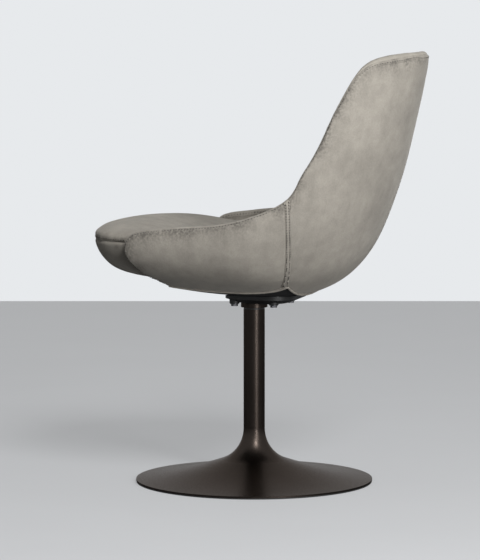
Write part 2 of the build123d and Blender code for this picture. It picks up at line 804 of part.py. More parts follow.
def rim_binding():
    """The cloth-covered padding that rounds the rim over the rod."""
    half = THICK / 2 - BINDING_GAP
    wires = []
    for centre, depth, out in rim_frames():
        far, near, crest = centre - depth * half, centre + depth * half, centre + out * RIM_BULGE
        arc = Edge.make_three_point_arc(far, crest, near)
        wires.append(Wire([arc, Edge.make_line(near, far)]))
    return Solid.make_loft(wires, True)


# ---------------------------------------------------------------- seat
def plan_wire(half_width, front, front_r, corner_r, z, back=BASE_BACK):
    """A plan outline of arcs: bowed front, round front corners, straight sides, round back."""
    turn = asin((half_width - corner_r) / (front_r - corner_r))
    centre = front + front_r
    corner_y = centre - (front_r - corner_r) * cos(turn)
    back_turn = asin((half_width - corner_r) / (BASE_BACK_R - corner_r))
    back_centre = back - BASE_BACK_R
    back_y = back_centre + (BASE_BACK_R - corner_r) * cos(back_turn)

    def front_point(angle):
        return Vector(front_r * sin(angle), centre - front_r * cos(angle), z)

    def corner_point(angle, side):
        x = half_width - corner_r + corner_r * sin(angle)
        return Vector(side * x, corner_y - corner_r * cos(angle), z)

    def back_corner(angle, side):
        x = half_width - corner_r + corner_r * sin(angle)
        return Vector(side * x, back_y + corner_r * cos(angle), z)

    def back_point(angle):
        return Vector(BASE_BACK_R * sin(angle), back_centre + BASE_BACK_R * cos(angle), z)

    edges = [
        Edge.make_three_point_arc(front_point(-turn), front_point(0), front_point(turn)),
        Edge.make_three_point_arc(back_point(-back_turn), back_point(0), back_point(back_turn)),
    ]
    for side in (-1, 1):
        mid, back_mid = (turn + pi / 2) / 2, (back_turn + pi / 2) / 2
        edges.append(Edge.make_three_point_arc(
            corner_point(turn, side), corner_point(mid, side), corner_point(pi / 2, side)
        ))
        edges.append(Edge.make_line(corner_point(pi / 2, side), back_corner(pi / 2, side)))
        edges.append(Edge.make_three_point_arc(
            back_corner(back_turn, side), back_corner(back_mid, side), back_corner(pi / 2, side)
        ))
    return Wire(edges)


def level_loft(inset, top=SEAM_Z):
    """The seat's base as a stack of plan outlines, drawn in by the inset."""
    wires = []
    for z, half, front, front_r, corner_r in BASE_LEVELS:
        height = top if z == SEAM_Z else z + inset
        wires.append(plan_wire(
            half - inset, front + inset, front_r - inset, corner_r - inset, height, BASE_BACK
        ))
    return Solid.make_loft(wires)


def seat_base():
    """The moulded foam base: inside the shell, and bulging out under the pad's front."""
    inset = BORDER + SEAT_GAP
    whole = level_loft(inset)
    behind = (whole & inside_shell(CAVITY, 0, BASE_LAST_ROW)) - ahead_of_shell(-FRONT_GAP)
    front = whole & inside_shell(PAN_STEP + inset, 0, SEAM_SECTION) & ahead_of_shell(-FRONT_GAP)
    return behind + front - board_space()


def front_border():
    """The cloth over the base's front and underside, from the pad's seam to the shell's edge."""
    outer = level_loft(0) & inside_shell(PAN_STEP, 0, SEAM_SECTION)
    inner = level_loft(BORDER, SEAM_Z + 1) & inside_shell(PAN_STEP + BORDER, 0, SEAM_SECTION)
    return (outer - inner) & ahead_of_shell(-FRONT_GAP)


def pad_outline(share, z, inset):
    """The pad's plan outline, drawn in to a share of its full size."""
    _, half, front, front_r, corner_r = BASE_LEVELS[-1]
    share -= inset / half
    return plan_wire(
        half * share,
        PAD_CENTRE + (front - PAD_CENTRE) * share,
        front_r * share,
        corner_r * share,
        z,
        PAD_CENTRE + (PAD_BACK - PAD_CENTRE) * share,
    )


def pad_loft(inset):
    """The loose pad: sides drawn in to the seam, a full waist, and a crown over it."""
    foot = SEAM_Z + PAD_GAP + inset
    waist = SEAM_Z + PAD_GAP + PAD_WAIST
    side = [
        pad_outline(1 - PAD_DRAW_IN * (1 - k / 2)**2, foot + (waist - foot) * k / 2, inset)
        for k in range(3)
    ]
    crown = []
    for k in range(PAD_CROWN_STEPS + 1):
        turn = pi / 2 * k / PAD_CROWN_STEPS
        z = waist + (PAD_CROWN - inset) * sin(turn)
        crown.append(pad_outline(1 - PAD_CROWN_REACH * (1 - cos(turn)), z, inset))
    return Solid.make_loft(side) + Solid.make_loft(crown)


def pad_core():
    return pad_loft(PAD_SKIN)


def pad_cover():
    return pad_loft(0) - pad_loft(PAD_SKIN)


def build():
    """Every piece under its name."""
    wing = wing_cover()
    seam = side_seam()
    return {
        "floor_ring": floor_ring(),
        "base_flare": base_flare(),
        "base_bottom_plate": base_bottom_plate(),
        "ballast_plate": ballast_plate(),
        "base_tie_bolt": base_tie_bolt(),
        "base_tie_washer": base_tie_washer(),
        "neck_sleeve": neck_sleeve(),
        "column_tube": column_tube(),
        "bearing_housing": bearing_housing(),
        "lower_bush": bush(LOWER_BUSH_FOOT),
        "upper_bush": bush(DECK - BUSH_LENGTH),
        "lower_race": thrust_race(DECK),
        "thrust_balls": thrust_balls(),
        "ball_cage": thrust_cage(),
        "upper_race": thrust_race(BALL_TOP + RUN_GAP),
        "swivel_spindle": swivel_spindle(),
        "spindle_washer": spindle_washer(),
        "spindle_clip": spindle_clip(),
        "hub_collar": hub_collar(),
        "mounting_plate": mounting_plate(),
        "mount_bolts": mount_bolts(),
        "mount_washers": mount_washers(),
        "mount_nuts": mount_nuts(),
        "seat_board": seat_board(),
        "rib_front": rib_with_holes(BOLT_FRONT_Y),
        "rib_rear": rib_with_holes(BOLT_BACK_Y),
        "rim_rod": rim_rod(),
        "shell_foam": shell_foam(),
        "rim_binding": rim_binding(),
        "wing_cover_left": wing,
        "wing_cover_right": mirrored(wing),
        "side_seam_left": seam,
        "side_seam_right": mirrored(seam),
        "back_cover": back_cover(),
        "under_cover": under_cover(),
        "inner_lining": inner_lining(),
        "seat_base": seat_base(),
        "front_border": front_border(),
        "pad_core": pad_core(),
        "pad_cover": pad_cover(),
    }


os.makedirs("parts", exist_ok=True)
for name, body in build().items():
    export_step(body, f"parts/{name}.step")
    print(f"{name:20s} solids {len(body.solids()):2d}  volume {body.volume / 1000:9.1f} cm3")
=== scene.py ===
# %% [markdown]
# # A swivel dining chair, dressed
#
# The chair is an upholstered bucket on a turned column and a round trumpet base. Its metal pieces
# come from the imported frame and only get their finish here. Everything that is cloth is made here
# as a surface: the outer covers of the wings and the back, the bound rim, the lining, the sewn
# bands with their stitches, the cloth under the seat, and the seat pad.
#
# Millimetres are easier to read than metres on a chair, so shapes are worked out in millimetres
# and turned into metres only when a mesh is made.

# %% The frame
import json

import bmesh
import bpy
import numpy as np
from mathutils import Matrix, Vector
from mathutils.bvhtree import BVHTree


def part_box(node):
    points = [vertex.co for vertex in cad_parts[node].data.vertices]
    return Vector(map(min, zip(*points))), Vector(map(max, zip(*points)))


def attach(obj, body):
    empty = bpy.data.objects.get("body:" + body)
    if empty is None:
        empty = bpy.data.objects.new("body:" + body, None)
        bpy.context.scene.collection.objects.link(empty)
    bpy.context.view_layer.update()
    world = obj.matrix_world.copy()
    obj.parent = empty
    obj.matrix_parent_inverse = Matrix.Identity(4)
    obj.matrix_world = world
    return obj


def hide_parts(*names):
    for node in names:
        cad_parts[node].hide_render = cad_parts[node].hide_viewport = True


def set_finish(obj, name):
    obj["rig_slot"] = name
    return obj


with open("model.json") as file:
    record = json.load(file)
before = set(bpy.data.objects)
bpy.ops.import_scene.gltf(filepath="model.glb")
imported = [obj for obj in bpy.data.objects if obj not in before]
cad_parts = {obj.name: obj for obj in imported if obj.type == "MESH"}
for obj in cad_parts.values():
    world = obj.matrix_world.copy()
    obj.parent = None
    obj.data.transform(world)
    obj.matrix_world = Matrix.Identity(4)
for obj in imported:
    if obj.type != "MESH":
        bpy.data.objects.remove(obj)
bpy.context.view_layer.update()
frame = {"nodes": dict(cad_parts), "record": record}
MM = 0.001
SEAT_BODY = "seat"
for name, nodes in frame["record"]["behaviour"]["bodies"].items():
    print(f"body {name}: {len(nodes)} nodes")

# %% [markdown]
# ## The form of the shell
#
# The shell is a family of sections. Each section stands on the spine, which runs under the seat
# and up the back, and ends at the rim. A section is two arcs a side: a flat one over the belly and
# a tighter one up the wing. The rows below are the same as in the part's source, because cover and
# padding have to follow one form. Between rows everything runs on a smooth spline.

# %% Rows of the shell
# Spine y and z, the rim's half width, y and z, the turn of the belly arc and the whole turn.
SECTIONS = np.array([
    (-300, 392, 214, -300, 484, 24, 96), (-215, 376, 226, -215, 484, 24, 98),
    (-148, 363, 236, -140, 486, 24, 100), (-75, 354, 246, -68, 495, 24, 100),
    (5, 351, 252, 20, 503, 24, 100), (60, 352, 252, 95, 521, 24, 100),
    (104, 357, 239, 157, 552, 24, 98), (144, 371, 225, 178, 590, 24, 95),
    (180, 394, 214, 193, 621, 24, 94), (213, 432, 201, 209, 658, 24, 95),
    (241, 485, 187, 225, 700, 24, 94), (269, 556, 171, 243, 738, 22, 90),
    (293, 635, 157, 257, 767, 20, 80), (311, 701, 144, 269, 784, 18, 66),
    (323, 745, 122, 284, 792, 15, 53), (330, 773, 90, 305, 795, 13, 41),
    (335, 793, 50, 322, 797, 10, 33),
], float)
LAST_ROW = len(SECTIONS) - 1.0
SEAM_ROW = 6.0          # wings and back are sewn together here
THICK = 22.6            # cover, foam and lining together
RIM_BULGE = 8.0         # how far the bound rim stands past the covers' edges
HEM_X = 130.0           # half width of the dark cloth under the seat

# %% Lengths, directions and a smooth curve
def length_along(line):
    """The line's length up to each of its points."""
    return np.concatenate([[0], np.cumsum(np.linalg.norm(np.diff(line, axis=0), axis=1))])


def at_lengths(line, length, wanted):
    """The line at the wanted lengths, each of its columns on its own."""
    return np.stack([np.interp(wanted, length, column) for column in line.T], -1)


def unit(v):
    return v / np.linalg.norm(v, axis=-1, keepdims=True)


def smooth_curve(knots, values, at):
    """Natural cubic spline: between two knots a cubic, with no bend at either end.
    The bends m solve h0*m0 + 2(h0+h1)*m1 + h1*m2 = 6*(slope1 - slope0) at each inner knot."""
    h, n = np.diff(knots), len(knots)
    slopes = np.diff(values, axis=0) / h[:, None]
    matrix = np.eye(n)
    inner = np.arange(1, n - 1)
    matrix[inner, inner - 1], matrix[inner, inner] = h[:-1], 2 * (h[:-1] + h[1:])
    matrix[inner, inner + 1] = h[1:]
    pull = np.zeros_like(values)
    pull[1:-1] = 6 * np.diff(slopes, axis=0)
    bends = np.linalg.solve(matrix, pull)
    k = np.clip(np.searchsorted(knots, at) - 1, 0, n - 2)
    step = h[k][..., None]
    a = (knots[k + 1] - at)[..., None] / step
    b = 1 - a
    cubic = ((a**3 - a) * bends[k] + (b**3 - b) * bends[k + 1]) * step**2 / 6
    return a * values[k] + b * values[k + 1] + cubic


# %% The surface of the shell
def section_arcs(row):
    """The smooth row, its height, the turns t1 and t2 at which the belly arc and the side arc end,
    and their radii, which solve R1 sin t1 + R2 (sin t2 - sin t1) = half width and
    R1 (1 - cos t1) + R2 (cos t1 - cos t2) = height."""
    v = smooth_curve(np.arange(len(SECTIONS), dtype=float), SECTIONS, np.asarray(row, float))
    height = np.hypot(v[..., 3] - v[..., 0], v[..., 4] - v[..., 1])
    belly, wrap = np.radians(v[..., 5]), np.radians(v[..., 6])
    a, b = np.sin(belly), np.sin(wrap) - np.sin(belly)
    c, d = 1 - np.cos(belly), np.cos(belly) - np.cos(wrap)
    belly_r = (v[..., 2] * d - height * b) / (a * d - b * c)
    side_r = (a * height - c * v[..., 2]) / (a * d - b * c)
    return v, height, belly, wrap, belly_r, side_r


def shell(row, turn, depth=0.0):
    """The point at this row, this turn from the spine (+ towards +X), this deep under the outer
    face. In a section, with belly arc R1 to turn t1 and side arc R2 beyond it:
    x = (R1-R2) sin t1 + (R2-depth) sin t, height = R1 - (R1-R2) cos t1 - (R2-depth) cos t."""
    row, turn, depth = np.broadcast_arrays(*(np.asarray(v, float) for v in (row, turn, depth)))
    v, height, belly, _, belly_r, side_r = section_arcs(row)
    t = np.abs(turn)
    shift = np.where(t <= belly, 0.0, belly_r - side_r)
    radius = np.where(t <= belly, belly_r, side_r) - depth
    x = shift * np.sin(belly) + radius * np.sin(t)
    up = belly_r - shift * np.cos(belly) - radius * np.cos(t)
    return np.stack([
        np.sign(turn) * x,
        v[..., 0] + up * (v[..., 3] - v[..., 0]) / height,
        v[..., 1] + up * (v[..., 4] - v[..., 1]) / height,
    ], -1)


def edge_turn(row):
    """The turn at which the covers end: the whole turn less the bulge as an arc of the side."""
    _, _, _, wrap, _, side_r = section_arcs(row)
    return wrap - RIM_BULGE / side_r


def hem_turn(row):
    """The turn at which the belly arc is HEM_X from the middle: asin(HEM_X / R1)."""
    on_belly = np.radians(10.0)
    belly_r = shell(row, on_belly)[..., 0] / np.sin(on_belly)
    return np.arcsin(HEM_X / belly_r)


print("spine top", shell(LAST_ROW, 0.0).round(1), "widest", shell(4.5, edge_turn(4.5)).round(1))

# %% [markdown]
# ## The edge of the covers
#
# The covers end on one line: it starts at the hem under the seat, runs up the wing's front edge,
# round its nose, back along the rim and over the top of the back. Seen from the side the nose is a
# circle with a straight edge below it. That outline is known as y and z, so the row and the turn
# that give this y and z are found by Newton's method, for all points at once.

# %% The covers' edge line
NOSE_Y, NOSE_Z, NOSE_R = -170.0, 446.0, 40.0
NOSE_FOOT = np.array([-118.0, 362.0])
EDGE_STEP = 1.8         # between two stations of the edge


def rows_and_turns_at(y, z):
    """Row and turn at which the outer face passes y and z. A coarse search gives the start, then
    each Newton step solves the 2x2 slope equations."""
    rows, turns = np.meshgrid(np.linspace(1.3, 3.5, 60), np.radians(np.linspace(14, 100, 80)))
    grid = shell(rows, turns)
    miss = (grid[..., 1].ravel() - y[:, None])**2 + (grid[..., 2].ravel() - z[:, None])**2
    best = miss.argmin(1)
    row, turn = rows.ravel()[best], turns.ravel()[best]
    tiny = 1e-4
    for _ in range(12):
        here = shell(row, turn)
        by_row = (shell(row + tiny, turn) - here) / tiny
        by_turn = (shell(row, turn + tiny) - here) / tiny
        det = by_row[:, 1] * by_turn[:, 2] - by_turn[:, 1] * by_row[:, 2]
        off_y, off_z = y - here[:, 1], z - here[:, 2]
        row = row + (off_y * by_turn[:, 2] - off_z * by_turn[:, 1]) / det
        turn = turn + (off_z * by_row[:, 1] - off_y * by_row[:, 2]) / det
    return row, turn


def edge_line():
    """Rows and turns along the edge on the +X side, from the hem to the top of the back, at even
    steps of length."""
    radius = NOSE_R - RIM_BULGE
    centre = np.array([NOSE_Y + NOSE_R, NOSE_Z])
    run = NOSE_FOOT - centre
    reach = np.hypot(*run)
    lean = np.arctan2(run[1], run[0]) - np.arccos(NOSE_R / reach)
    touch = centre + radius * np.array([np.cos(lean), np.sin(lean)])
    slide = np.sqrt(reach**2 - NOSE_R**2) * np.array([-np.sin(lean), np.cos(lean)])
    share = np.array([0.835, 0.6, 0.4, 0.2])[:, None]
    front = touch + slide * share
    bow = np.linspace(lean + 2 * np.pi, np.pi / 2 + 0.25, 9)[:, None]
    nose = centre + radius * np.hstack([np.cos(bow), np.sin(bow)])
    row, turn = rows_and_turns_at(*np.vstack([front, nose]).T)
    rim_rows = np.arange(2.5, LAST_ROW + 0.01, 0.5)
    top = edge_turn(LAST_ROW)
    row = np.concatenate([row, rim_rows, np.full(4, LAST_ROW)])
    turn = np.concatenate([turn, edge_turn(rim_rows), top * np.array([0.5, 0.0, -0.5, -1.0])])
    knots = length_along(shell(row, turn))
    top_middle = knots[-3]
    fine = smooth_curve(knots, np.stack([row, turn], -1), np.linspace(0, top_middle, 4000))
    length = length_along(shell(*fine.T))
    even = np.linspace(0, length[-1], int(length[-1] / EDGE_STEP) + 1)
    return at_lengths(fine, length, even), even


EDGE, EDGE_S = edge_line()
print(f"edge line {EDGE_S[-1]:.0f} mm a side, {len(EDGE)} stations")

# %% [markdown]
# ## Meshes from grids
#
# Every cloth piece is a grid of points with two parameters. Grids that share a border are joined
# by merging the points that coincide, so the light runs over the join without a break.

# %% From grids to an object
def placed(name, data):
    """A new object in the scene."""
    thing = bpy.data.objects.new(name, data)
    bpy.context.scene.collection.objects.link(thing)
    return thing


def join_points(mesh, distance):
    """Points nearer to each other than this become one."""
    work = bmesh.new()
    work.from_mesh(mesh)
    bmesh.ops.remove_doubles(work, verts=work.verts, dist=distance * MM)
    work.to_mesh(mesh)
    work.free()


def shade_smooth(mesh):
    mesh.polygons.foreach_set("use_smooth", np.ones(len(mesh.polygons), bool))


def add_piece(name, grids, close=0.05):
    """One mesh from several grids of points in millimetres, each rows x columns x 3. Cell (i, j)
    becomes the face i,j - i,j+1 - i+1,j+1 - i+1,j."""
    points, faces, start = [], [], 0
    for grid in grids:
        rows, columns = grid.shape[:2]
        index = start + np.arange(rows * columns).reshape(rows, columns)
        quad = np.stack([index[:-1, :-1], index[:-1, 1:], index[1:, 1:], index[1:, :-1]], -1)
        faces.append(quad.reshape(-1, 4))
        points.append(grid.reshape(-1, 3))
        start += rows * columns
    points, faces = np.vstack(points) * MM, np.vstack(faces)
    mesh = bpy.data.meshes.new(name)
    mesh.from_pydata(points.tolist(), [], faces.tolist())
    join_points(mesh, close)
    shade_smooth(mesh)
    mesh.update()
    piece = placed(name, mesh)
    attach(piece, SEAT_BODY)
    print(f"{name}: {len(mesh.polygons)} faces")
    return piece


OTHER_SIDE = np.array([-1.0, 1.0, 1.0])


def mirror(grid):
    """The same grid on the other side, turned so that its faces still point outwards."""
    return grid[:, ::-1] * OTHER_SIDE


def outward(row, turn):
    """The direction out of the shell: the outer face less the face just under it."""
    return unit(shell(row, turn, 0.0) - shell(row, turn, 1.0))


# %% [markdown]
# ## How sewn cloth lies
#
# A seam pulls the cloth down into a groove, and because thread is a little shorter than the cloth
# it gathers, the cloth beside it puckers. The puckers run away from the seam and fade within a
# finger's breadth. They are a smooth random curve along the seam times a fading across it.

# %% Puckers and the soft unevenness of padding
STITCH_PITCH = 5.8
TABLE_SIZE = 4096
PUCKER_TABLE = np.random.default_rng(11).normal(size=TABLE_SIZE)
PUCKER_HIGH = 2.4               # in millimetres, at a strength of 1
FINE_PITCH, FINE_FADE = 2.6, 4.5        # along the seam and away from it
COARSE_PITCH, COARSE_FADE = 6.0, 14.0
PATCH_PITCH = 55.0              # a seam is quiet in some stretches and busy in others


def wander(length, pitch, seed=0):
    """Smooth random curve: seeded values at every pitch, blended by 3t^2 - 2t^3 between them."""
    at = np.abs(length) / pitch + 37.0 * seed
    k = np.floor(at).astype(int)
    t = at - k
    t = t * t * (3 - 2 * t)
    return PUCKER_TABLE[k % TABLE_SIZE] * (1 - t) + PUCKER_TABLE[(k + 1) % TABLE_SIZE] * t


def puckers(length, across, strength, seed=0):
    """A fine and a coarse wander along the seam, each fading across it as exp(-across/w)."""
    across = np.abs(across)
    fine = wander(length, FINE_PITCH, seed) * np.exp(-across / FINE_FADE)
    coarse = wander(length, COARSE_PITCH, seed + 1) * np.exp(-across / COARSE_FADE)
    patchy = 0.65 + 0.35 * wander(length, PATCH_PITCH, seed + 2)
    return PUCKER_HIGH * strength * patchy * (0.55 * fine + 0.75 * coarse)


def groove(across, depth, width):
    """A seam's groove: -depth at the seam and -depth/e one width away."""
    return -depth * np.exp(-(across / width)**2)


def padding_waves(p):
    """Long shallow waves of the padding, a third of a millimetre high, from a few sines."""
    x, y, z = p[..., 0], p[..., 1], p[..., 2]
    return (0.16 * np.sin(x / 31 + y / 47 + 1.0) + 0.14 * np.sin(z / 37 - y / 53 + 2.2)
            + 0.10 * np.sin(x / 19 - z / 23 + 0.4))


# %% [markdown]
# ## The rim
#
# Along the edge line, the section of the rim is half an ellipse: as wide as the shell is thick and
# as high as the rim stands out. It leaves the covers without a kink. Two seams run along it, one
# on the outer shoulder and one on the inner, and the cloth between them is the binding.

# %% Frames along the edge
HALF_THICK = THICK / 2
RIM_ARC = 9.6           # length along the rim's section for one radian of it
RIM_PUCKERS = 0.42      # their strength in the covers, and in the binding between the seams
BINDING_PUCKERS = 0.11
SEAM_ANGLE = 0.92       # of the rim's seams, up from the flat side
BAND_CROWN = 0.5
BINDING_COLUMNS = 15


def edge_frames(row, turn):
    """Middle of the layers, the way into the shell, and the way out over the rim, which is the
    tangent crossed with the way in."""
    middle = shell(row, turn, HALF_THICK)
    inward = unit(shell(row, turn, THICK) - shell(row, turn, 0.0))
    tangent = np.gradient(middle, axis=0)
    return middle, inward, unit(np.cross(tangent, inward))


def both_sides(values, sign=1.0):
    """A run from the foot on one side over the top to the foot on the other."""
    return np.concatenate([values, sign * values[-2::-1]])


RIM_ROW = both_sides(EDGE[:, 0])
RIM_TURN = both_sides(EDGE[:, 1], -1.0)
RIM_S = np.concatenate([EDGE_S, 2 * EDGE_S[-1] - EDGE_S[-2::-1]])
RIM_MIDDLE, RIM_IN, RIM_OUT = edge_frames(RIM_ROW, RIM_TURN)
TURN_SMOOTHING = 25     # stations over which the rim's direction turns at the back's top corners
window = np.hanning(TURN_SMOOTHING + 2)[1:-1]
ends_held = np.pad(RIM_OUT, ((TURN_SMOOTHING // 2,) * 2, (0, 0)), mode="edge")
RIM_OUT = unit(np.stack([np.convolve(axis, window, "valid") for axis in ends_held.T], -1))
print(f"rim {RIM_S[-1]:.0f} mm long, {len(RIM_S)} stations")

# %% How high the rim stands
TOP_Z, TOP_FALL = 809.0, 5.0            # the back's top edge is a low dome: z at its middle, and
TOP_REACH = 90.0                        # how far it falls by this reach to the side
TOP_HALF_WIDTH, TOP_BLEND = 105.0, 30.0         # the dome ends here, over this distance
TOP_ONLY_Z = 700.0                              # and is never lower than this
TOP_MOST_DOWN, TOP_MOST_UP = -3.0, 5.0          # how far it may move the rim
CHEEK_Z, CHEEK_SPAN, CHEEK = 748.0, 45.0, 3.8   # below the corners the rim is fuller by this
crest = RIM_MIDDLE + RIM_OUT * RIM_BULGE
dome = TOP_Z - TOP_FALL * (crest[:, 0] / TOP_REACH)**2
on_top = np.clip((TOP_HALF_WIDTH - np.abs(crest[:, 0])) / TOP_BLEND, 0, 1)
on_top = on_top * (crest[:, 2] > TOP_ONLY_Z)
to_dome = np.clip(dome - crest[:, 2], TOP_MOST_DOWN, TOP_MOST_UP)
RIM_HIGH = (RIM_BULGE + to_dome * on_top**2 * (3 - 2 * on_top)
            + CHEEK * np.exp(-((crest[:, 2] - CHEEK_Z) / CHEEK_SPAN)**2))


def rim_point(k, angle, lift=0.0):
    """Middle - inward H cos(a) + out B sin(a), lifted along the ellipse's normal. B is the rim's
    height at this station."""
    cos, sin = np.cos(angle)[..., None], np.sin(angle)[..., None]
    high = RIM_HIGH[k][..., None]
    normal = unit(-RIM_IN[k] * cos / HALF_THICK + RIM_OUT[k] * sin / high)
    lift = np.asarray(lift)[..., None]
    return RIM_MIDDLE[k] - RIM_IN[k] * HALF_THICK * cos + RIM_OUT[k] * high * sin + normal * lift


print("rim stands out", RIM_HIGH.min().round(1), "to", RIM_HIGH.max().round(1), "mm")

# %% The binding between its two seams
band_angle = np.linspace(SEAM_ANGLE, np.pi - SEAM_ANGLE, BINDING_COLUMNS)
k, angle = np.meshgrid(np.arange(len(RIM_S)), band_angle)
share = (angle - SEAM_ANGLE) / (np.pi - 2 * SEAM_ANGLE)
side_gap = RIM_ARC * np.minimum(angle - SEAM_ANGLE, np.pi - SEAM_ANGLE - angle)
lift = (BAND_CROWN * np.sin(np.pi * share) + groove(side_gap, 1.2, 1.1)
        + puckers(RIM_S[k], side_gap, BINDING_PUCKERS, 3))
binding = add_piece("rim_band", [rim_point(k, angle, lift)])
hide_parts("rim_binding")
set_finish(binding, "velvet")

# %% [markdown]
# ## The covers of the wings
#
# A wing's cover is cut from one piece of cloth: along the hem below, up the front edge, round the
# nose, back under the rim, and down the side seam. A patch like this has four sides once a corner
# is chosen on the nose. Its inside is filled from its sides, as a Coons patch, but in rows and
# turns of the shell instead of in space, so that every point still lies on the shell.

# %% Coons patches on the shell
def coons(bottom, top, left, right):
    """Both pairs of sides blended straight across, less the blend of the four corners:
    (1-v) bottom + v top + (1-u) left + u right - corners."""
    u = np.linspace(0, 1, len(bottom))[None, :, None]
    v = np.linspace(0, 1, len(left))[:, None, None]
    across = (1 - v) * bottom[None] + v * top[None] + (1 - u) * left[:, None] + u * right[:, None]
    corners = ((1 - u) * (1 - v) * bottom[0] + u * (1 - v) * bottom[-1]
               + (1 - u) * v * top[0] + u * v * top[-1])
    return across - corners


def resampled(pairs, count):
    """A line of rows and turns at even steps of its real length."""
    length = length_along(shell(*pairs.T))
    return at_lengths(pairs, length, np.linspace(0, length[-1], count))


def nearest(points, line):
    """For each point, its distance from a line of points and the number of the nearest one."""
    flat = points.reshape(-1, 3)
    best, index = np.empty(len(flat)), np.empty(len(flat), int)
    for part in np.array_split(np.arange(len(flat)), max(1, len(flat) // 4000)):
        miss = np.linalg.norm(flat[part, None] - line[None], axis=2)
        index[part], best[part] = miss.argmin(1), miss.min(1)
    return best.reshape(points.shape[:-1]), index.reshape(points.shape[:-1])


# %% The wing's patch
BAND_ROWS = 0.12        # half width of the sewn side band, in rows
SHOULDER_STEPS = 9
PAST_NOSE = 60          # from this station on, the rows only grow
NOSE_STATIONS = 120     # the front edge and the nose lie within these
SEAM_STATION = int(np.searchsorted(EDGE[PAST_NOSE:, 0], SEAM_ROW - BAND_ROWS)) + PAST_NOSE
edge_points = shell(*EDGE.T)
edge_slope = np.gradient(edge_points, axis=0)
nose_front = EDGE[:NOSE_STATIONS, 0].argmin()
CORNER = nose_front + int(np.argmax(edge_slope[nose_front:, 1] > edge_slope[nose_front:, 2]))

SEAM_BOW = 0.45         # rows by which the side seam bows to the back, half way up
SEAM_POINTS = 200


def bowed(climb):
    """The bow's share of the way up the seam: sin(pi climb), and nothing under the hem."""
    return SEAM_BOW * np.sin(np.pi * np.clip(climb, 0, 1))


def seam_at(station):
    """Rows and turns of the side seam that meets the edge at this station, from the hem up."""
    rows = EDGE[station, 0] + bowed(np.linspace(0, 1, SEAM_POINTS))
    return rows, np.linspace(hem_turn(rows[0]), EDGE[station, 1], SEAM_POINTS)


seam_rows, seam_turns = seam_at(SEAM_STATION)
hem_rows = np.linspace(EDGE[0, 0], seam_rows[0], SEAM_POINTS)
wing = coons(
    resampled(np.stack([hem_rows, hem_turn(hem_rows)], -1), SEAM_STATION - CORNER + 1),
    EDGE[CORNER:SEAM_STATION + 1],
    EDGE[:CORNER + 1],
    resampled(np.stack([seam_rows, seam_turns], -1), CORNER + 1),
)
print("wing patch", wing.shape[:2], "nose corner at", edge_points[CORNER].round(1))


# %% Laying a cover over its padding
WAVES_FADE = 30.0       # near the rim the cover is too tight for waves
LOW_Z, LOW_SPAN = 430.0, 80.0   # below this the side seam gathers more


def lay_cover(row, turn, seam_line=None, hem_line=None, depth=0.0, seed=0):
    """A patch of cover: the shell's face moved out by the waves, the puckers and the grooves of the
    seams round it. Beside a side seam it bulges between the stitches, as a cosine of their pitch.
    A depth of THICK is the lining, which faces the other way."""
    points = shell(row, turn, depth)
    away, station = nearest(points, shell(RIM_ROW, RIM_TURN, depth))
    away = away + RIM_ARC * SEAM_ANGLE
    fade = 1 - np.exp(-(away / WAVES_FADE)**2)
    lift = padding_waves(points) * fade + puckers(RIM_S[station], away, RIM_PUCKERS, seed)
    if seam_line is not None:
        gap, at = nearest(points, seam_line)
        low = 0.75 + 0.5 * np.clip((LOW_Z - seam_line[at, 2]) / LOW_SPAN, 0, 1)
        lift = lift + puckers(1.6 * at, gap, 0.40, seed + 5) * low + groove(gap, 0.9, 1.6)
        beads = np.cos(2 * np.pi * length_along(seam_line)[at] / STITCH_PITCH)
        lift = lift + low * 0.8 * np.exp(-(gap / 4.0)**2) * beads
    if hem_line is not None:
        gap, at = nearest(points, hem_line)
        lift = lift + groove(gap, 0.8, 2.2) + puckers(1.8 * at, gap, 0.2, seed + 9)
    face = -1.0 if depth > 0 else 1.0
    return points + outward(row, turn) * face * lift[..., None]


def shoulder(stations, seed=0, side=0.0):
    """The cover's last stretch over the rim, from the flat side up to the outer seam (side 0) or
    the inner one (side pi)."""
    angle = np.linspace(0, SEAM_ANGLE, SHOULDER_STEPS)
    k, angle = np.meshgrid(stations, angle)
    away = RIM_ARC * (SEAM_ANGLE - angle)
    lift = puckers(RIM_S[k], away, RIM_PUCKERS, seed) + groove(away, 1.2, 1.3)
    return rim_point(k, side + angle * (1 if side == 0 else -1), lift)


# %% The wing covers
seam_line = shell(seam_rows, seam_turns)
hem_line = shell(hem_rows, hem_turn(hem_rows))
wing_points = lay_cover(wing[..., 0], wing[..., 1], seam_line, hem_line)
wing_shoulder = shoulder(np.arange(SEAM_STATION + 1))
covers = []
for name, node, turn_over in (("wing_cloth_left", "wing_cover_left", False),
                              ("wing_cloth_right", "wing_cover_right", True)):
    grids = [wing_points, wing_shoulder]
    if turn_over:
        grids = [mirror(grid) for grid in grids]
    piece = add_piece(name, grids, close=0.4)
    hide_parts(node)
    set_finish(piece, "velvet")
    covers.append(piece)

# %% [markdown]
# ## The cover of the back
#
# The back's cover runs from the side seams up to the rim. Its lines cross from rim to rim: each
# one starts at a station of the rim, dips down over the spine and comes up at the same station
# opposite. Near the rim they are close together, where the puckers are.

# %% The back's patch
CROSSING_STEPS = 0.0045, 0.026, 60      # first step from the rim, last one at the spine, how many
SPINE_POINTS = 400


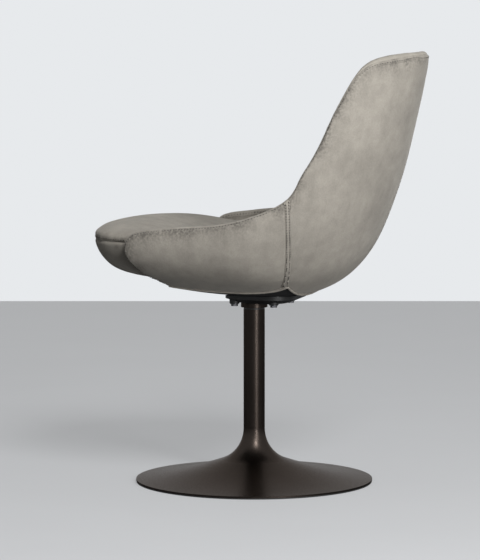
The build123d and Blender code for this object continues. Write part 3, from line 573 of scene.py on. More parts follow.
def crossing_lines(first, last, spine_first, bow_fades):
    """Rows and turns of lines from rim to rim. On a line, row = spine + (rim - spine) v^2 and
    turn = v * rim turn, with v from -1 to 1. The first lines take the seam's bow, which fades,
    and the last one runs along the edge itself."""
    stations = np.arange(first, last + 1)
    steps = np.linspace(*CROSSING_STEPS)
    inside = np.concatenate([[0], np.cumsum(steps)]) / steps.sum()
    v = np.concatenate([-(1 - inside), (1 - inside)[-2::-1]])
    share = (EDGE_S[stations] - EDGE_S[first]) / (EDGE_S[last] - EDGE_S[first])
    spine_fine = np.linspace(spine_first, LAST_ROW, SPINE_POINTS)
    spine_length = length_along(shell(spine_fine, 0.0))
    middle = np.interp(share * spine_length[-1], spine_length, spine_fine)
    row = middle[:, None] + (EDGE[stations, 0] - middle)[:, None] * v**2
    turn = EDGE[stations, 1][:, None] * v
    row[-1] = np.interp(np.abs(turn[-1]), EDGE[last:, 1][::-1], EDGE[last:, 0][::-1])
    foot = hem_turn(EDGE[first, 0])
    climb = (np.abs(turn) - foot) / (EDGE[stations, 1][:, None] - foot)
    fade = np.clip(1 - (stations - first) / bow_fades, 0, 1)[:, None]**2
    return row + bowed(climb) * fade, turn


BACK_STATION = int(np.searchsorted(EDGE[PAST_NOSE:, 0], SEAM_ROW + BAND_ROWS)) + PAST_NOSE
TOP_HALF = 40.0         # the lines stop here, and the last one is the rim's top itself
TOP_STATION = BACK_STATION + int(np.argmax(edge_points[BACK_STATION:, 0] < TOP_HALF))
row, turn = crossing_lines(BACK_STATION, TOP_STATION, SEAM_ROW + BAND_ROWS, 90.0)
back_line = shell(*seam_at(BACK_STATION))
back_line = np.vstack([back_line[::-1], back_line * OTHER_SIDE])
back_points = lay_cover(row, turn, back_line, seed=20)
over_top = np.arange(BACK_STATION, len(RIM_S) - BACK_STATION)
back = add_piece("back_cloth", [back_points[:, ::-1], shoulder(over_top, 20)], close=0.4)
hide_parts("back_cover")
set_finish(back, "velvet")
covers.append(back)

# %% [markdown]
# ## The lining
#
# The lining is the same velvet on the inside of the shell. Its lines cross over the spine like
# those of the back's cover, from the wings' front edge to the top. The lowest ones run under the
# seat's base, where nobody sees them. The foam between cover and lining has no surface of its own
# to show.

# %% The lining's patch
LINING_FOOT = 2.6       # row where the first line crosses the spine
row, turn = crossing_lines(0, TOP_STATION, LINING_FOOT, 0.5)
lining_points = lay_cover(row, turn, depth=THICK, seed=40)
over_all = np.arange(len(RIM_S))
lining = add_piece("lining_cloth", [lining_points, shoulder(over_all, 40, np.pi)], close=0.4)
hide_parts("inner_lining", "shell_foam")
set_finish(lining, "velvet")

# %% [markdown]
# ## The sewn side bands
#
# Where a wing meets the back, the two covers are folded under a flat band, and the band is
# stitched down along both its edges: a flat-felled seam. It stands a little proud and puckers most
# low down, where the shell is most curved. Its surface is lifted from the form along its own
# normals.

# %% Bands from a lifted grid
BAND_COLUMNS = 15
BAND_PROUD = 0.9
STITCH_INSET = 3.4      # of the stitch lines, from the band's middle
BAND_LOW_Z, BAND_LOW_SPAN = 470.0, 100.0        # below this the band puckers more
BAND_POINTS = 210


def grid_normals(grid):
    """Direction square to the grid: its two slopes crossed."""
    return unit(np.cross(np.gradient(grid, axis=1), np.gradient(grid, axis=0)))


def finer(grid, count):
    """The grid with its columns interpolated to another count."""
    at = np.linspace(0, grid.shape[1] - 1, count)
    low = np.minimum(at.astype(int), grid.shape[1] - 2)
    share = (at - low)[None, :, None]
    return grid[:, low] * (1 - share) + grid[:, low + 1] * share


# %% The two bands
stations = np.arange(SEAM_STATION, BACK_STATION + 1)
climb = np.linspace(0, 1, BAND_POINTS)[:, None]
hem_turns = hem_turn(EDGE[stations, 0])
flat_turns = hem_turns + (EDGE[stations, 1] - hem_turns) * climb
flat_part = shell(EDGE[stations, 0] + bowed(climb), flat_turns)
k, angle = np.meshgrid(stations, np.linspace(0, SEAM_ANGLE, SHOULDER_STEPS))
band_form = finer(np.vstack([flat_part, rim_point(k, angle)[1:]]), BAND_COLUMNS)
middle_line = band_form[:, BAND_COLUMNS // 2]
along = length_along(middle_line)[:, None]
width = np.linalg.norm(band_form[:, -1] - band_form[:, 0], axis=1)[:, None]
across = (np.linspace(0, 1, BAND_COLUMNS) - 0.5) * width
low_down = 0.8 + 1.1 * np.clip((BAND_LOW_Z - middle_line[:, 2:3]) / BAND_LOW_SPAN, 0, 1)
beaded = np.cos(2 * np.pi * along / STITCH_PITCH)
edge_fold = BAND_PROUD - (2.0 - 1.5 * beaded) * np.exp(-((np.abs(across) - width / 2) / 1.2)**2)
band_lift = (edge_fold + groove(np.abs(across) - STITCH_INSET, 0.55, 0.8)
             + low_down * 0.34 * wander(along, 3.1, 60) * (np.abs(across) / 5)**0.5
             + low_down * 0.26 * wander(along, 8.0, 61)
             + low_down * 0.75 * beaded
             * np.exp(-((np.abs(across) - STITCH_INSET) / 1.4)**2))
band_up = grid_normals(band_form)
band_middle = band_up[BAND_POINTS // 2, BAND_COLUMNS // 2]
band_up = band_up * np.sign((band_middle * outward(SEAM_ROW, 1.2)).sum())
band_grid = band_form + band_up * band_lift[..., None]
for name, node, grid in (("side_band_left", "side_seam_left", band_grid),
                         ("side_band_right", "side_seam_right", mirror(band_grid))):
    piece = add_piece(name, [grid])
    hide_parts(node)
    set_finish(piece, "velvet")

# %% [markdown]
# ## Stitches
#
# A stitch is a short length of thread that comes out of the cloth, lies on it and goes back in.
# Each one is a small tapered bead of two dozen faces, which is enough at its size, and there are
# hundreds of them. All beads of a seam are worked out as one array and joined to one piece.

# %% Stitches along a line
BEAD_RINGS = np.array([-1.0, -0.72, 0.0, 0.72, 1.0])
BEAD_WIDTHS = np.array([0.25, 0.8, 1.0, 0.8, 0.25])
BEAD_SIDES = 6
STITCH_LONG = 3.0


def stitches(lines, name, thick=2.1):
    """Beads along lines of (points, directions out of the cloth). Ring u of a bead is a circle of
    width(u), u STITCH_LONG/2 along the seam from its centre and 0.4 thick (1 - u^2) up from it."""
    beads = []
    for line, up in lines:
        length = length_along(line)
        wanted = np.arange(STITCH_PITCH, length[-1] - STITCH_PITCH, STITCH_PITCH)
        centre, up = at_lengths(line, length, wanted), unit(at_lengths(up, length, wanted))
        before, after = (at_lengths(line, length, wanted + step) for step in (-0.6, 0.6))
        ahead = unit(after - before)
        side = np.cross(ahead, up)
        turn = 2 * np.pi * np.arange(BEAD_SIDES) / BEAD_SIDES
        u = BEAD_RINGS[None, :, None, None]
        wide = thick / 2 * BEAD_WIDTHS[None, :, None, None]
        lifted = thick / 2 * (1 - u**2) * 0.8
        beads.append(
            centre[:, None, None] + ahead[:, None, None] * u * STITCH_LONG / 2
            + side[:, None, None] * wide * np.cos(turn)[None, None, :, None]
            + up[:, None, None] * (wide * np.sin(turn)[None, None, :, None] + lifted)
        )
    points = np.concatenate(beads)
    count, rings = len(points), len(BEAD_RINGS)
    j = np.arange(BEAD_SIDES)
    following = (j + 1) % BEAD_SIDES
    ring = np.stack([j, following, following + BEAD_SIDES, j + BEAD_SIDES], -1)
    quads = (ring[None] + BEAD_SIDES * np.arange(rings - 1)[:, None, None]).reshape(-1, 4)
    step = rings * BEAD_SIDES * np.arange(count)[:, None, None]
    quads = (quads[None] + step).reshape(-1, 4)
    caps = (np.stack([j[::-1], j + (rings - 1) * BEAD_SIDES])[None] + step).reshape(-1, BEAD_SIDES)
    mesh = bpy.data.meshes.new(name)
    mesh.from_pydata((points.reshape(-1, 3) * MM).tolist(), [], quads.tolist() + caps.tolist())
    shade_smooth(mesh)
    piece = placed(name, mesh)
    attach(piece, SEAT_BODY)
    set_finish(piece, "velvet")
    print(f"{name}: {count} stitches")


# %% Where the stitches run
def both(lines):
    """The lines and their mirror images."""
    return lines + [(line[::-1] * OTHER_SIDE, up[::-1] * OTHER_SIDE) for line, up in lines]


def band_stitch_line(shift):
    """The line on the band this far from its middle, at each height of the band."""
    share = 0.5 + shift / width
    column = share[:, 0] * (BAND_COLUMNS - 1)
    low = column.astype(int)
    part = (column - low)[:, None]
    rows = np.arange(len(band_grid))
    line = band_grid[rows, low] * (1 - part) + band_grid[rows, low + 1] * part
    return line[3:-2], band_up[rows, low][3:-2]


def rim_stitch_line(angle):
    """Along the whole rim at this angle of its section, on the covers' side or the lining's."""
    every = np.arange(len(RIM_S))
    up = unit(rim_point(every, np.full(len(every), angle), 1.0)
              - rim_point(every, np.full(len(every), angle)))
    return rim_point(every, np.full(len(every), angle), -0.35), up


STITCH_ANGLE = SEAM_ANGLE - 0.45        # the rim's stitches lie below its seams
stitches(both([band_stitch_line(-STITCH_INSET), band_stitch_line(STITCH_INSET)]), "band_stitches")
stitches([rim_stitch_line(STITCH_ANGLE)], "rim_stitches_outer", thick=1.4)
stitches([rim_stitch_line(np.pi - STITCH_ANGLE)], "rim_stitches_inner", thick=1.4)

# %% [markdown]
# ## Under the seat
#
# The covers are folded over a piping along their lower edge, and a thin black non-woven cloth
# closes the belly between. The piping is a round cord in a strip of velvet, so it is a tube along
# the hem.

# %% The piping along the hem
PIPING_R, PIPING_SIDES = 2.1, 10


def tube(line, up, radius):
    """A circle of this radius carried along the line: r cos(t) to the side and r sin(t) up."""
    ahead = unit(np.gradient(line, axis=0))
    side = unit(np.cross(ahead, up))
    up = np.cross(side, ahead)
    t = np.linspace(0, 2 * np.pi, PIPING_SIDES + 1)[:, None, None]
    return line + radius * (side * np.cos(t) + up * np.sin(t))


side_rows = np.linspace(EDGE[0, 0], SEAM_ROW + BAND_ROWS, 150)
cross_turns = np.linspace(1, -1, 160)[1:-1] * hem_turn(SEAM_ROW + BAND_ROWS)
hem_row = np.concatenate([side_rows, np.full(len(cross_turns), side_rows[-1]), side_rows[::-1]])
hem_turned = np.concatenate([hem_turn(side_rows), cross_turns, -hem_turn(side_rows[::-1])])
hem_up = outward(hem_row, hem_turned)
piping_line = shell(hem_row, hem_turned) + hem_up * 0.7
ripple = 1 + 0.05 * wander(length_along(piping_line), 4.0, 70)[None, :, None]
piping = tube(piping_line, hem_up, PIPING_R)
piping = piping_line + (piping - piping_line) * ripple
hem_piping = add_piece("hem_piping", [piping])
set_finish(hem_piping, "velvet")

# %% The black cloth
CLOTH_DEPTH = 0.8
CLOTH_CELLS = 80, 90
cloth_rows, share = np.meshgrid(
    np.linspace(EDGE[0, 0], SEAM_ROW + BAND_ROWS, CLOTH_CELLS[0]),
    np.linspace(-1, 1, CLOTH_CELLS[1]), indexing="ij")
cloth_turns = share * hem_turn(cloth_rows)
cloth_points = shell(cloth_rows, cloth_turns, CLOTH_DEPTH)
sag = 0.25 * np.sin(cloth_points[..., 0] / 9 + cloth_points[..., 1] / 30)
cloth_points = cloth_points + outward(cloth_rows, cloth_turns) * sag[..., None]
under_cloth = add_piece("dust_cloth", [cloth_points])
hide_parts("under_cover")
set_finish(under_cloth, "black_cloth")

# %% [markdown]
# ## The seat's base
#
# Under the pad, the moulded base bulges out of the shell's open front. Its solid is right but
# plain, so a copy of it is turned into an even mesh, smoothed as foam is under a stretched cover,
# and moved out by the thickness of the cloth.

# %% An even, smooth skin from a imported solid
CLOTH_THICK = 1.2
BASE_VOXEL = 0.0045
ROLL, ROLL_SPAN = 1.6, 5.0      # under its top edge the base bulges in a roll
DIP, DIP_AT, DIP_SPAN = 0.9, 14.0, 9.0          # and below the roll it is a little hollow


def merged_copy(node, name):
    """The node's mesh with its loose triangles joined, as a new object at the origin."""
    mesh = frame["nodes"][node].data.copy()
    mesh.name = name
    mesh.materials.clear()
    join_points(mesh, 0.01)
    return placed(name, mesh)


def apply_modifiers(piece):
    """The piece's mesh becomes what its modifiers make of it."""
    shown = piece.evaluated_get(bpy.context.evaluated_depsgraph_get())
    mesh = bpy.data.meshes.new_from_object(shown)
    piece.modifiers.clear()
    piece.data = mesh
    shade_smooth(mesh)


def coordinates(mesh):
    place = np.empty(len(mesh.vertices) * 3)
    mesh.vertices.foreach_get("co", place)
    return place.reshape(-1, 3)


def move_out(mesh, distance):
    """Every point along its own normal by this distance, one number or one for each point."""
    normal = np.empty(len(mesh.vertices) * 3)
    mesh.vertices.foreach_get("normal", normal)
    moved = coordinates(mesh) + normal.reshape(-1, 3) * np.reshape(distance, (-1, 1))
    mesh.vertices.foreach_set("co", moved.ravel())
    mesh.update()


def even_skin(piece, voxel):
    """A modifier that gives the piece a skin of squares of this size."""
    remesh = piece.modifiers.new("even", "REMESH")
    remesh.mode, remesh.voxel_size = "VOXEL", voxel


def soften(piece, rounds):
    smooth = piece.modifiers.new("smooth", "SMOOTH")
    smooth.factor, smooth.iterations = 0.5, rounds


# %% The base's front
seat_front = merged_copy("seat_base", "seat_front_cloth")
even_skin(seat_front, BASE_VOXEL)
soften(seat_front, 8)
apply_modifiers(seat_front)
move_out(seat_front.data, CLOTH_THICK * MM)
place = coordinates(seat_front.data) / MM
fullness = padding_waves(place) * 1.6
under_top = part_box("seat_base")[1].z / MM - place[:, 2]
fullness = fullness - groove(under_top, ROLL, ROLL_SPAN) + groove(under_top - DIP_AT, DIP, DIP_SPAN)
move_out(seat_front.data, fullness * MM)
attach(seat_front, SEAT_BODY)
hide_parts("seat_base", "front_border")
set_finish(seat_front, "velvet")
print("seat_front_cloth:", len(seat_front.data.polygons), "faces")

# %% [markdown]
# ## The seat pad
#
# The pad is sewn to the base along its lower edge. It is highest just behind its front and slopes
# down to the back, and its sides fall away towards the wings. The form is a stack of outlines:
# each is the plan of the pad drawn in by a share, and the crown rises as the share falls. Then a
# short cloth simulation with a little pressure inside lets the cover find its own tension.

# %% The pad's sizes and its plan
PAD_HALF, PAD_FRONT, PAD_FRONT_R, PAD_CORNER_R = 212.0, -289.0, 400.0, 110.0
PAD_BACK, PAD_BACK_R, PAD_CENTRE = 198.0, 300.0, -45.0
PAD_SEAM_Z, PAD_WAIST_Z = 459.5, 469.5  # of the sewn edge, and of the widest outline
PAD_HIGH, PAD_LOW = 25.5, -3.0          # of the crown, behind the front edge and at the back
PAD_HIGH_Y, PAD_SLOPE = -235.0, 145.0
PAD_ROUND, PAD_SQUARE = 1.6, 3.4        # how full the crown is behind, and how much more in front
CROWN_POWER = 2.2
PAD_TILT_Y, PAD_TILT = -225.0, 7.0      # from here on back the whole pad lies lower by this,
PAD_TILT_SPAN = 200.0                   # reached over this distance
PLAN_POINTS, ARC_POINTS, CROWN_RINGS, UNDER_RINGS = 300, 40, 60, 14
SWELL = 2.5                             # left for the simulation to fill


def pad_plan():
    """The plan outline from the middle of the back, round the +X side and on, in even steps. Arcs:
    a bowed front, round front corners, straight sides, and a bowed back."""
    inner = PAD_HALF - PAD_CORNER_R
    turn = np.arcsin(inner / (PAD_FRONT_R - PAD_CORNER_R))
    back_turn = np.arcsin(inner / (PAD_BACK_R - PAD_CORNER_R))
    corner_y = PAD_FRONT + PAD_FRONT_R - (PAD_FRONT_R - PAD_CORNER_R) * np.cos(turn)
    back_y = PAD_BACK - PAD_BACK_R + (PAD_BACK_R - PAD_CORNER_R) * np.cos(back_turn)

    def arc(x, y, radius, start, end):
        a = np.linspace(start, end, ARC_POINTS)
        return np.stack([x + radius * np.sin(a), y - radius * np.cos(a)], -1)

    half = np.vstack([
        arc(0.0, PAD_FRONT + PAD_FRONT_R, PAD_FRONT_R, 0.0, turn),
        arc(inner, corner_y, PAD_CORNER_R, turn, np.pi / 2),
        arc(inner, back_y, PAD_CORNER_R, np.pi / 2, np.pi - back_turn),
        arc(0.0, PAD_BACK - PAD_BACK_R, PAD_BACK_R, np.pi - back_turn, np.pi),
    ])
    whole = np.vstack([half, half[::-1] * OTHER_SIDE[:2]])
    length = length_along(whole)
    return at_lengths(whole, length, np.linspace(0, length[-1], PLAN_POINTS + 1))


# %% The pad's crown
def pad_tilt(y):
    """How much lower the pad lies at this y."""
    back = np.clip((y - PAD_TILT_Y) / PAD_TILT_SPAN, 0, 1)
    return PAD_TILT * back**2 * (3 - 2 * back)


def pad_form():
    """Rings of points. Underside: shares 0 to 1 at the seam's height. Crown: share = cos(a)^(2/p)
    and height = H sin(a)^(2/q), where p is larger towards the front and H falls away behind it.
    Behind the front, all of it is let down by the tilt, as 3t^2 - 2t^3."""
    plan = pad_plan()
    middle = np.array([0.0, PAD_CENTRE])
    reach = plan - middle
    forward = np.clip(-reach[:, 1] / np.hypot(*reach.T), 0, 1)**2
    full = PAD_ROUND + PAD_SQUARE * forward
    a = np.linspace(0, np.pi / 2, CROWN_RINGS)[:, None]
    share = np.cos(a)**(2 / full)
    crown = middle + reach * share[..., None]
    behind = np.clip(crown[..., 1] - PAD_HIGH_Y, 0, None)
    high = PAD_LOW + (PAD_HIGH - PAD_LOW) * np.exp(-(behind / PAD_SLOPE)**2) - SWELL
    crown_z = PAD_WAIST_Z + high * np.sin(a)**(2 / CROWN_POWER)
    side = np.linspace(0, np.pi / 2, 8)[:-1]
    flat = np.linspace(0, 0.97, UNDER_RINGS)
    under_share = np.concatenate([flat, 0.988 + 0.012 * np.sin(side)])
    flat_z = np.full(UNDER_RINGS, PAD_SEAM_Z - 1)
    under_z = np.concatenate([flat_z, PAD_WAIST_Z - 12.0 * np.cos(side)])
    under = middle + reach * under_share[:, None, None]
    under_z = np.broadcast_to(under_z[:, None], under.shape[:2])
    rings = np.concatenate([np.dstack([under, under_z]), np.dstack([crown, crown_z])])
    rings[..., 2] -= pad_tilt(rings[..., 1])
    return rings


pad_rings = pad_form()
pad = add_piece("seat_pad", [pad_rings[::-1]], close=0.02)
print("pad from", pad_rings[..., 2].min(), "to", pad_rings[..., 2].max().round(1))

# %% The cover finds its tension
PAD_VOXEL, PRESSURE, LAST_FRAME, CAP = 0.005, 1.0, 20, 0.005


def inflate(piece):
    """Cloth with pressure inside and no gravity, over a few frames, each point's way capped."""
    even_skin(piece, PAD_VOXEL)
    apply_modifiers(piece)
    before = coordinates(piece.data)
    cloth = piece.modifiers.new("cloth", "CLOTH")
    cloth.settings.quality = 5
    cloth.settings.mass = 0.3
    cloth.settings.tension_stiffness = cloth.settings.compression_stiffness = 60.0
    cloth.settings.bending_stiffness = 1.0
    cloth.settings.use_pressure = True
    cloth.settings.uniform_pressure_force = PRESSURE
    cloth.settings.effector_weights.gravity = 0.0
    cloth.collision_settings.use_collision = False
    cloth.point_cache.frame_start, cloth.point_cache.frame_end = 1, LAST_FRAME
    for number in range(1, LAST_FRAME + 1):
        bpy.context.scene.frame_set(number)
    apply_modifiers(piece)
    way = coordinates(piece.data) - before
    far = np.linalg.norm(way, axis=1, keepdims=True)
    kept = before + way * np.minimum(1.0, CAP / np.maximum(far, 1e-9))
    piece.data.vertices.foreach_set("co", kept.ravel())
    bpy.context.scene.frame_set(1)
    print(f"pad moved {np.median(far) / MM:.1f} mm, most {far.max() / MM:.1f} mm before the cap")


inflate(pad)
soften(pad, 4)
finer_pad = pad.modifiers.new("finer", "SUBSURF")
finer_pad.levels = finer_pad.render_levels = 1
apply_modifiers(pad)
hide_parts("pad_core", "pad_cover")
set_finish(pad, "velvet")
print("seat_pad:", len(pad.data.polygons), "faces")

# %% The pad's seam, its puckers and its stitches
PLAN_STEP = 4.3         # between two points of the plan
PAD_PUCKERS, PAD_WAVES = 0.55, 1.8
STITCH_GROOVE_AT, SIDE_REACH = 8.0, 16.0        # over the seam, and how far the pad's side reaches
place = coordinates(pad.data) / MM
plan_line = np.column_stack([pad_plan(), PAD_SEAM_Z - pad_tilt(pad_plan()[:, 1])])
gap, station = nearest(place, plan_line)
height = place[:, 2] - plan_line[station, 2]
pull = puckers(station * PLAN_STEP, np.abs(height - 1.0), PAD_PUCKERS, 80) * (height > -1)
pull = pull + groove(height - STITCH_GROOVE_AT, 0.5, 1.6) * (gap < SIDE_REACH)
pull = pull + padding_waves(place) * PAD_WAVES
move_out(pad.data, pull * MM)


STITCHED_TO_Y = 40.0    # behind this the wings hide the pad's side
OUTSIDE = 40.0          # the look starts this far outside the plan


def pad_stitch_line(height):
    """Points on the pad's side at this height over its seam, and the directions out of it, found
    by looking from outside the plan to the pad's middle. It ends where the shell hides the pad."""
    tree = BVHTree.FromObject(pad, bpy.context.evaluated_depsgraph_get())
    seam = np.roll(plan_line[:-1], len(plan_line) // 2, axis=0)
    seam = seam[seam[:, 1] < STITCHED_TO_Y]
    reach = unit(seam[:, :2] - [0.0, PAD_CENTRE])
    hits = [
        tree.ray_cast(Vector((x + OUTSIDE * i, y + OUTSIDE * j, z + height)) * MM,
                      Vector((-i, -j, 0.0)))
        for (x, y, z), (i, j) in zip(seam, reach)
    ]
    hits = [hit for hit in hits if hit[0] is not None]
    return np.array([hit[0] for hit in hits]) / MM, np.array([hit[1] for hit in hits])


stitches([pad_stitch_line(7.0)], "pad_stitches", thick=1.3)

# %% [markdown]
# ## Painted shade beside the seams
#
# Beside a seam the cloth dips into its groove and puckers, and the shade that falls there is
# painted into the velvet, darker and patchy. How near a point is to a seam is kept on the mesh as
# an attribute that the finish reads.

# %% Nearness to the seams
def paint_seam_shade(piece, lines, reach=13.0):
    """Attribute seam_shade: exp(-distance/reach) to the nearest seam, patchy along it."""
    place = coordinates(piece.data) / MM
    shade = np.zeros(len(place))
    for line in lines:
        gap, at = nearest(place, line)
        patchy = np.clip(0.75 + 0.35 * wander(length_along(line)[at], 16.0, 90), 0.2, 1.3)
        shade = np.maximum(shade, np.exp(-gap / reach) * patchy)
    attribute = piece.data.attributes.new("seam_shade", "FLOAT", "POINT")
    attribute.data.foreach_set("value", shade.astype(np.float32))


# Painted shade beside the seams: along the rim on the covers and the lining, and along the pad's
# seam
outer_rim = shell(RIM_ROW, RIM_TURN)
inner_rim = shell(RIM_ROW, RIM_TURN, THICK)
for piece in covers:
    paint_seam_shade(piece, [outer_rim])
paint_seam_shade(lining, [inner_rim])
paint_seam_shade(pad, [plan_line], 6.0)

# %% [markdown]
# ## Finishes
#
# Velvet is dark where one looks straight down its pile and lighter where the pile leans, so it
# needs several scales: soft clouds a hand wide where it was brushed, smaller blots, faint vertical
# streaks, and the grain of the pile itself. Base and column are powder coated in a bronze with
# metal flakes in it, the dish is black, and the bolts are black zinc. Every pattern runs on Object
# coordinates, in metres, so it stays on its piece.

# %% Small helpers for node trees
def feed(tree, node, inputs):
    """Each input by its name or number: a socket is linked to it, anything else is its constant."""
    for name, value in inputs.items():
        if isinstance(value, bpy.types.NodeSocket):
            tree.links.new(value, node.inputs[name])
        else:
            node.inputs[name].default_value = value


def made(tree, kind, inputs, output=0, **settings):
    """A new node, set and fed, as one of its outputs."""
    node = tree.nodes.new("ShaderNode" + kind)
    for name, value in settings.items():
        setattr(node, name, value)
    feed(tree, node, inputs)
    return node.outputs[output]


def new_finish(name):
    """A material with one shader and the coordinates that its patterns read."""
    finish = bpy.data.materials.new(name)
    finish.use_nodes = True
    tree = finish.node_tree
    return finish, tree, tree.nodes["Principled BSDF"], made(tree, "TexCoord", {}, "Object")


def stretched(tree, place, scale):
    """The coordinates scaled by three factors, to draw a pattern out one way."""
    return made(tree, "Mapping", {"Vector": place, "Scale": scale})


def noise(tree, place, scale, detail=2.0, roughness=0.5):
    inputs = {"Vector": place, "Scale": scale, "Detail": detail, "Roughness": roughness}
    return made(tree, "TexNoise", inputs, "Fac")


def spread(tree, value, low, high, to_low, to_high):
    """The value's range low..high spread to another range, without leaving it."""
    return made(tree, "MapRange", {"Value": value, "From Min": low, "From Max": high,
                                   "To Min": to_low, "To Max": to_high}, "Result")


def combined(tree, first, second, operation="MULTIPLY"):
    return made(tree, "Math", {0: first, 1: second}, operation=operation)


def shaded(tree, colour, factor):
    """A colour times a grey factor: lighter and darker places of the same cloth."""
    return made(tree, "VectorMath", {0: colour, "Scale": factor}, "Vector", operation="SCALE")


def bumped(tree, shader, height, distance, strength, under=None):
    """The shader's normal bent by this height, over another bump if there is one."""
    inputs = {"Distance": distance, "Strength": strength, "Height": height}
    if under is not None:
        inputs["Normal"] = under
    normal = made(tree, "Bump", inputs, "Normal")
    feed(tree, shader, {"Normal": normal})
    return normal


# %% Velvet
VELVET = (0.35, 0.325, 0.285)


def velvet():
    """Clouds, blots and streaks of the pile, and painted shade, darker and mottled, beside the
    seams.
    """
    finish, tree, shader, place = new_finish("brushed velvet")
    # painted shade beside the seams: the colour falls to half where seam_shade and the mottle are
    # full
    near = made(tree, "Attribute", {}, "Fac", attribute_name="seam_shade")
    mottled = spread(tree, noise(tree, place, 240.0), 0.35, 0.65, 0.35, 1.25)
    seams = spread(tree, combined(tree, near, mottled), 0.0, 1.0, 1.0, 0.50)
    hands = spread(tree, noise(tree, place, 9.0, 4.0, 0.6), 0.32, 0.68, 0.84, 1.10)
    blots = spread(tree, noise(tree, place, 38.0, 3.0, 0.6), 0.30, 0.70, 0.90, 1.07)
    # clouds holds the pile's random clouds and the painted seam shade
    clouds = combined(tree, combined(tree, hands, blots), seams)
    drawn = stretched(tree, place, (1.0, 1.0, 0.22))
    streaks = spread(tree, noise(tree, drawn, 75.0, 3.0), 0.3, 0.7, 0.965, 1.035)
    flecks = spread(tree, noise(tree, place, 420.0, 2.0, 0.6), 0.3, 0.7, 0.93, 1.07)
    grain = noise(tree, place, 2600.0, 1.0)
    pile = spread(tree, grain, 0.25, 0.75, 0.92, 1.08)
    tone = combined(tree, combined(tree, clouds, streaks), combined(tree, flecks, pile))
    feed(tree, shader, {
        "Base Color": shaded(tree, VELVET, tone),
        "Roughness": spread(tree, clouds, 0.9, 1.08, 0.90, 0.80),
        "Specular IOR Level": 0.10,
        "Sheen Weight": 0.24,
        "Sheen Roughness": 0.45,
        "Sheen Tint": (0.92, 0.89, 0.84, 1.0),
    })
    nap = bumped(tree, shader, streaks, 0.0009, 0.35)
    bumped(tree, shader, grain, 0.0003, 0.5, nap)
    return finish


# %% Cloth with dots
def black_cloth():
    """Spun-bonded cloth: short fibres pressed together with a grid of small dots."""
    finish, tree, shader, place = new_finish("black non-woven cloth")
    fibres = noise(tree, place, 900.0, 4.0, 0.7)
    grid = {"Vector": place, "Scale": 520.0, "Randomness": 0.15}
    dots = made(tree, "TexVoronoi", grid, "Distance")
    tone = spread(tree, fibres, 0.35, 0.65, 0.6, 1.7)
    feed(tree, shader, {"Base Color": shaded(tree, (0.013, 0.013, 0.014), tone), "Roughness": 0.92})
    low = bumped(tree, shader, fibres, 0.0003, 0.5)
    bumped(tree, shader, spread(tree, dots, 0.1, 0.5, 0.0, 1.0), 0.0003, 0.5, low)
    return finish


# %% One pattern: thread, fillings, castings and mouldings
def grained(name, colour, roughness, pattern, tone, bump, drawn=None, metallic=0.0):
    """A finish whose colour and bump both follow one noise. pattern is its scale, detail and
    roughness, tone the factors for its low and high places, bump its height and strength, and drawn
    how it is stretched. A pair for the roughness follows the noise too."""
    finish, tree, shader, place = new_finish(name)
    grain = noise(tree, stretched(tree, place, drawn) if drawn else place, *pattern)
    if isinstance(roughness, tuple):
        roughness = spread(tree, grain, 0.3, 0.7, *roughness)
    feed(tree, shader, {"Base Color": shaded(tree, colour, spread(tree, grain, 0.3, 0.7, *tone)),
                        "Roughness": roughness, "Metallic": metallic})
    bumped(tree, shader, grain, *bump)
    return finish


def moulded(name, colour, roughness):
    """Plastic or rubber out of a mould with a fine sparked texture."""
    return grained(name, colour, roughness, (1800.0, 2.0), (0.9, 1.1), (0.0002, 0.4))


def bare_metal(name, colour, roughness, drawn=(1.0, 1.0, 12.0), scale=120.0):
    """Metal with the fine lines that its tool left, drawn across the long axis."""
    return grained(name, colour, (roughness - 0.06, roughness + 0.08), (scale, 3.0, 0.6),
                   (0.86, 1.08), (0.0001, 0.4), drawn, 1.0)


# %% Powder coat
def powder_coat(name, colour, roughness, metallic=0.0, edge=(1.0, 1.0, 1.0, 1.0)):
    """Paint melted from powder: a satin film with a shallow orange peel and a little grain. With
    metal flakes in it, edge is the colour in which it mirrors at a low angle."""
    finish, tree, shader, place = new_finish(name)
    waves = noise(tree, place, 380.0)
    grit = noise(tree, place, 2400.0, 1.0)
    dust = spread(tree, noise(tree, place, 9.0, 3.0), 0.3, 0.7, 0.9, 1.12)
    tone = combined(tree, dust, spread(tree, grit, 0.3, 0.7, 0.88, 1.15))
    feed(tree, shader, {
        "Base Color": shaded(tree, colour, tone),
        "Roughness": spread(tree, waves, 0.3, 0.7, roughness - 0.04, roughness + 0.05),
        "Specular IOR Level": 0.4,
        "Metallic": metallic,
        "Specular Tint": edge,
    })
    low = bumped(tree, shader, waves, 0.00012, 0.6)
    bumped(tree, shader, grit, 0.00006, 0.4, low)
    return finish


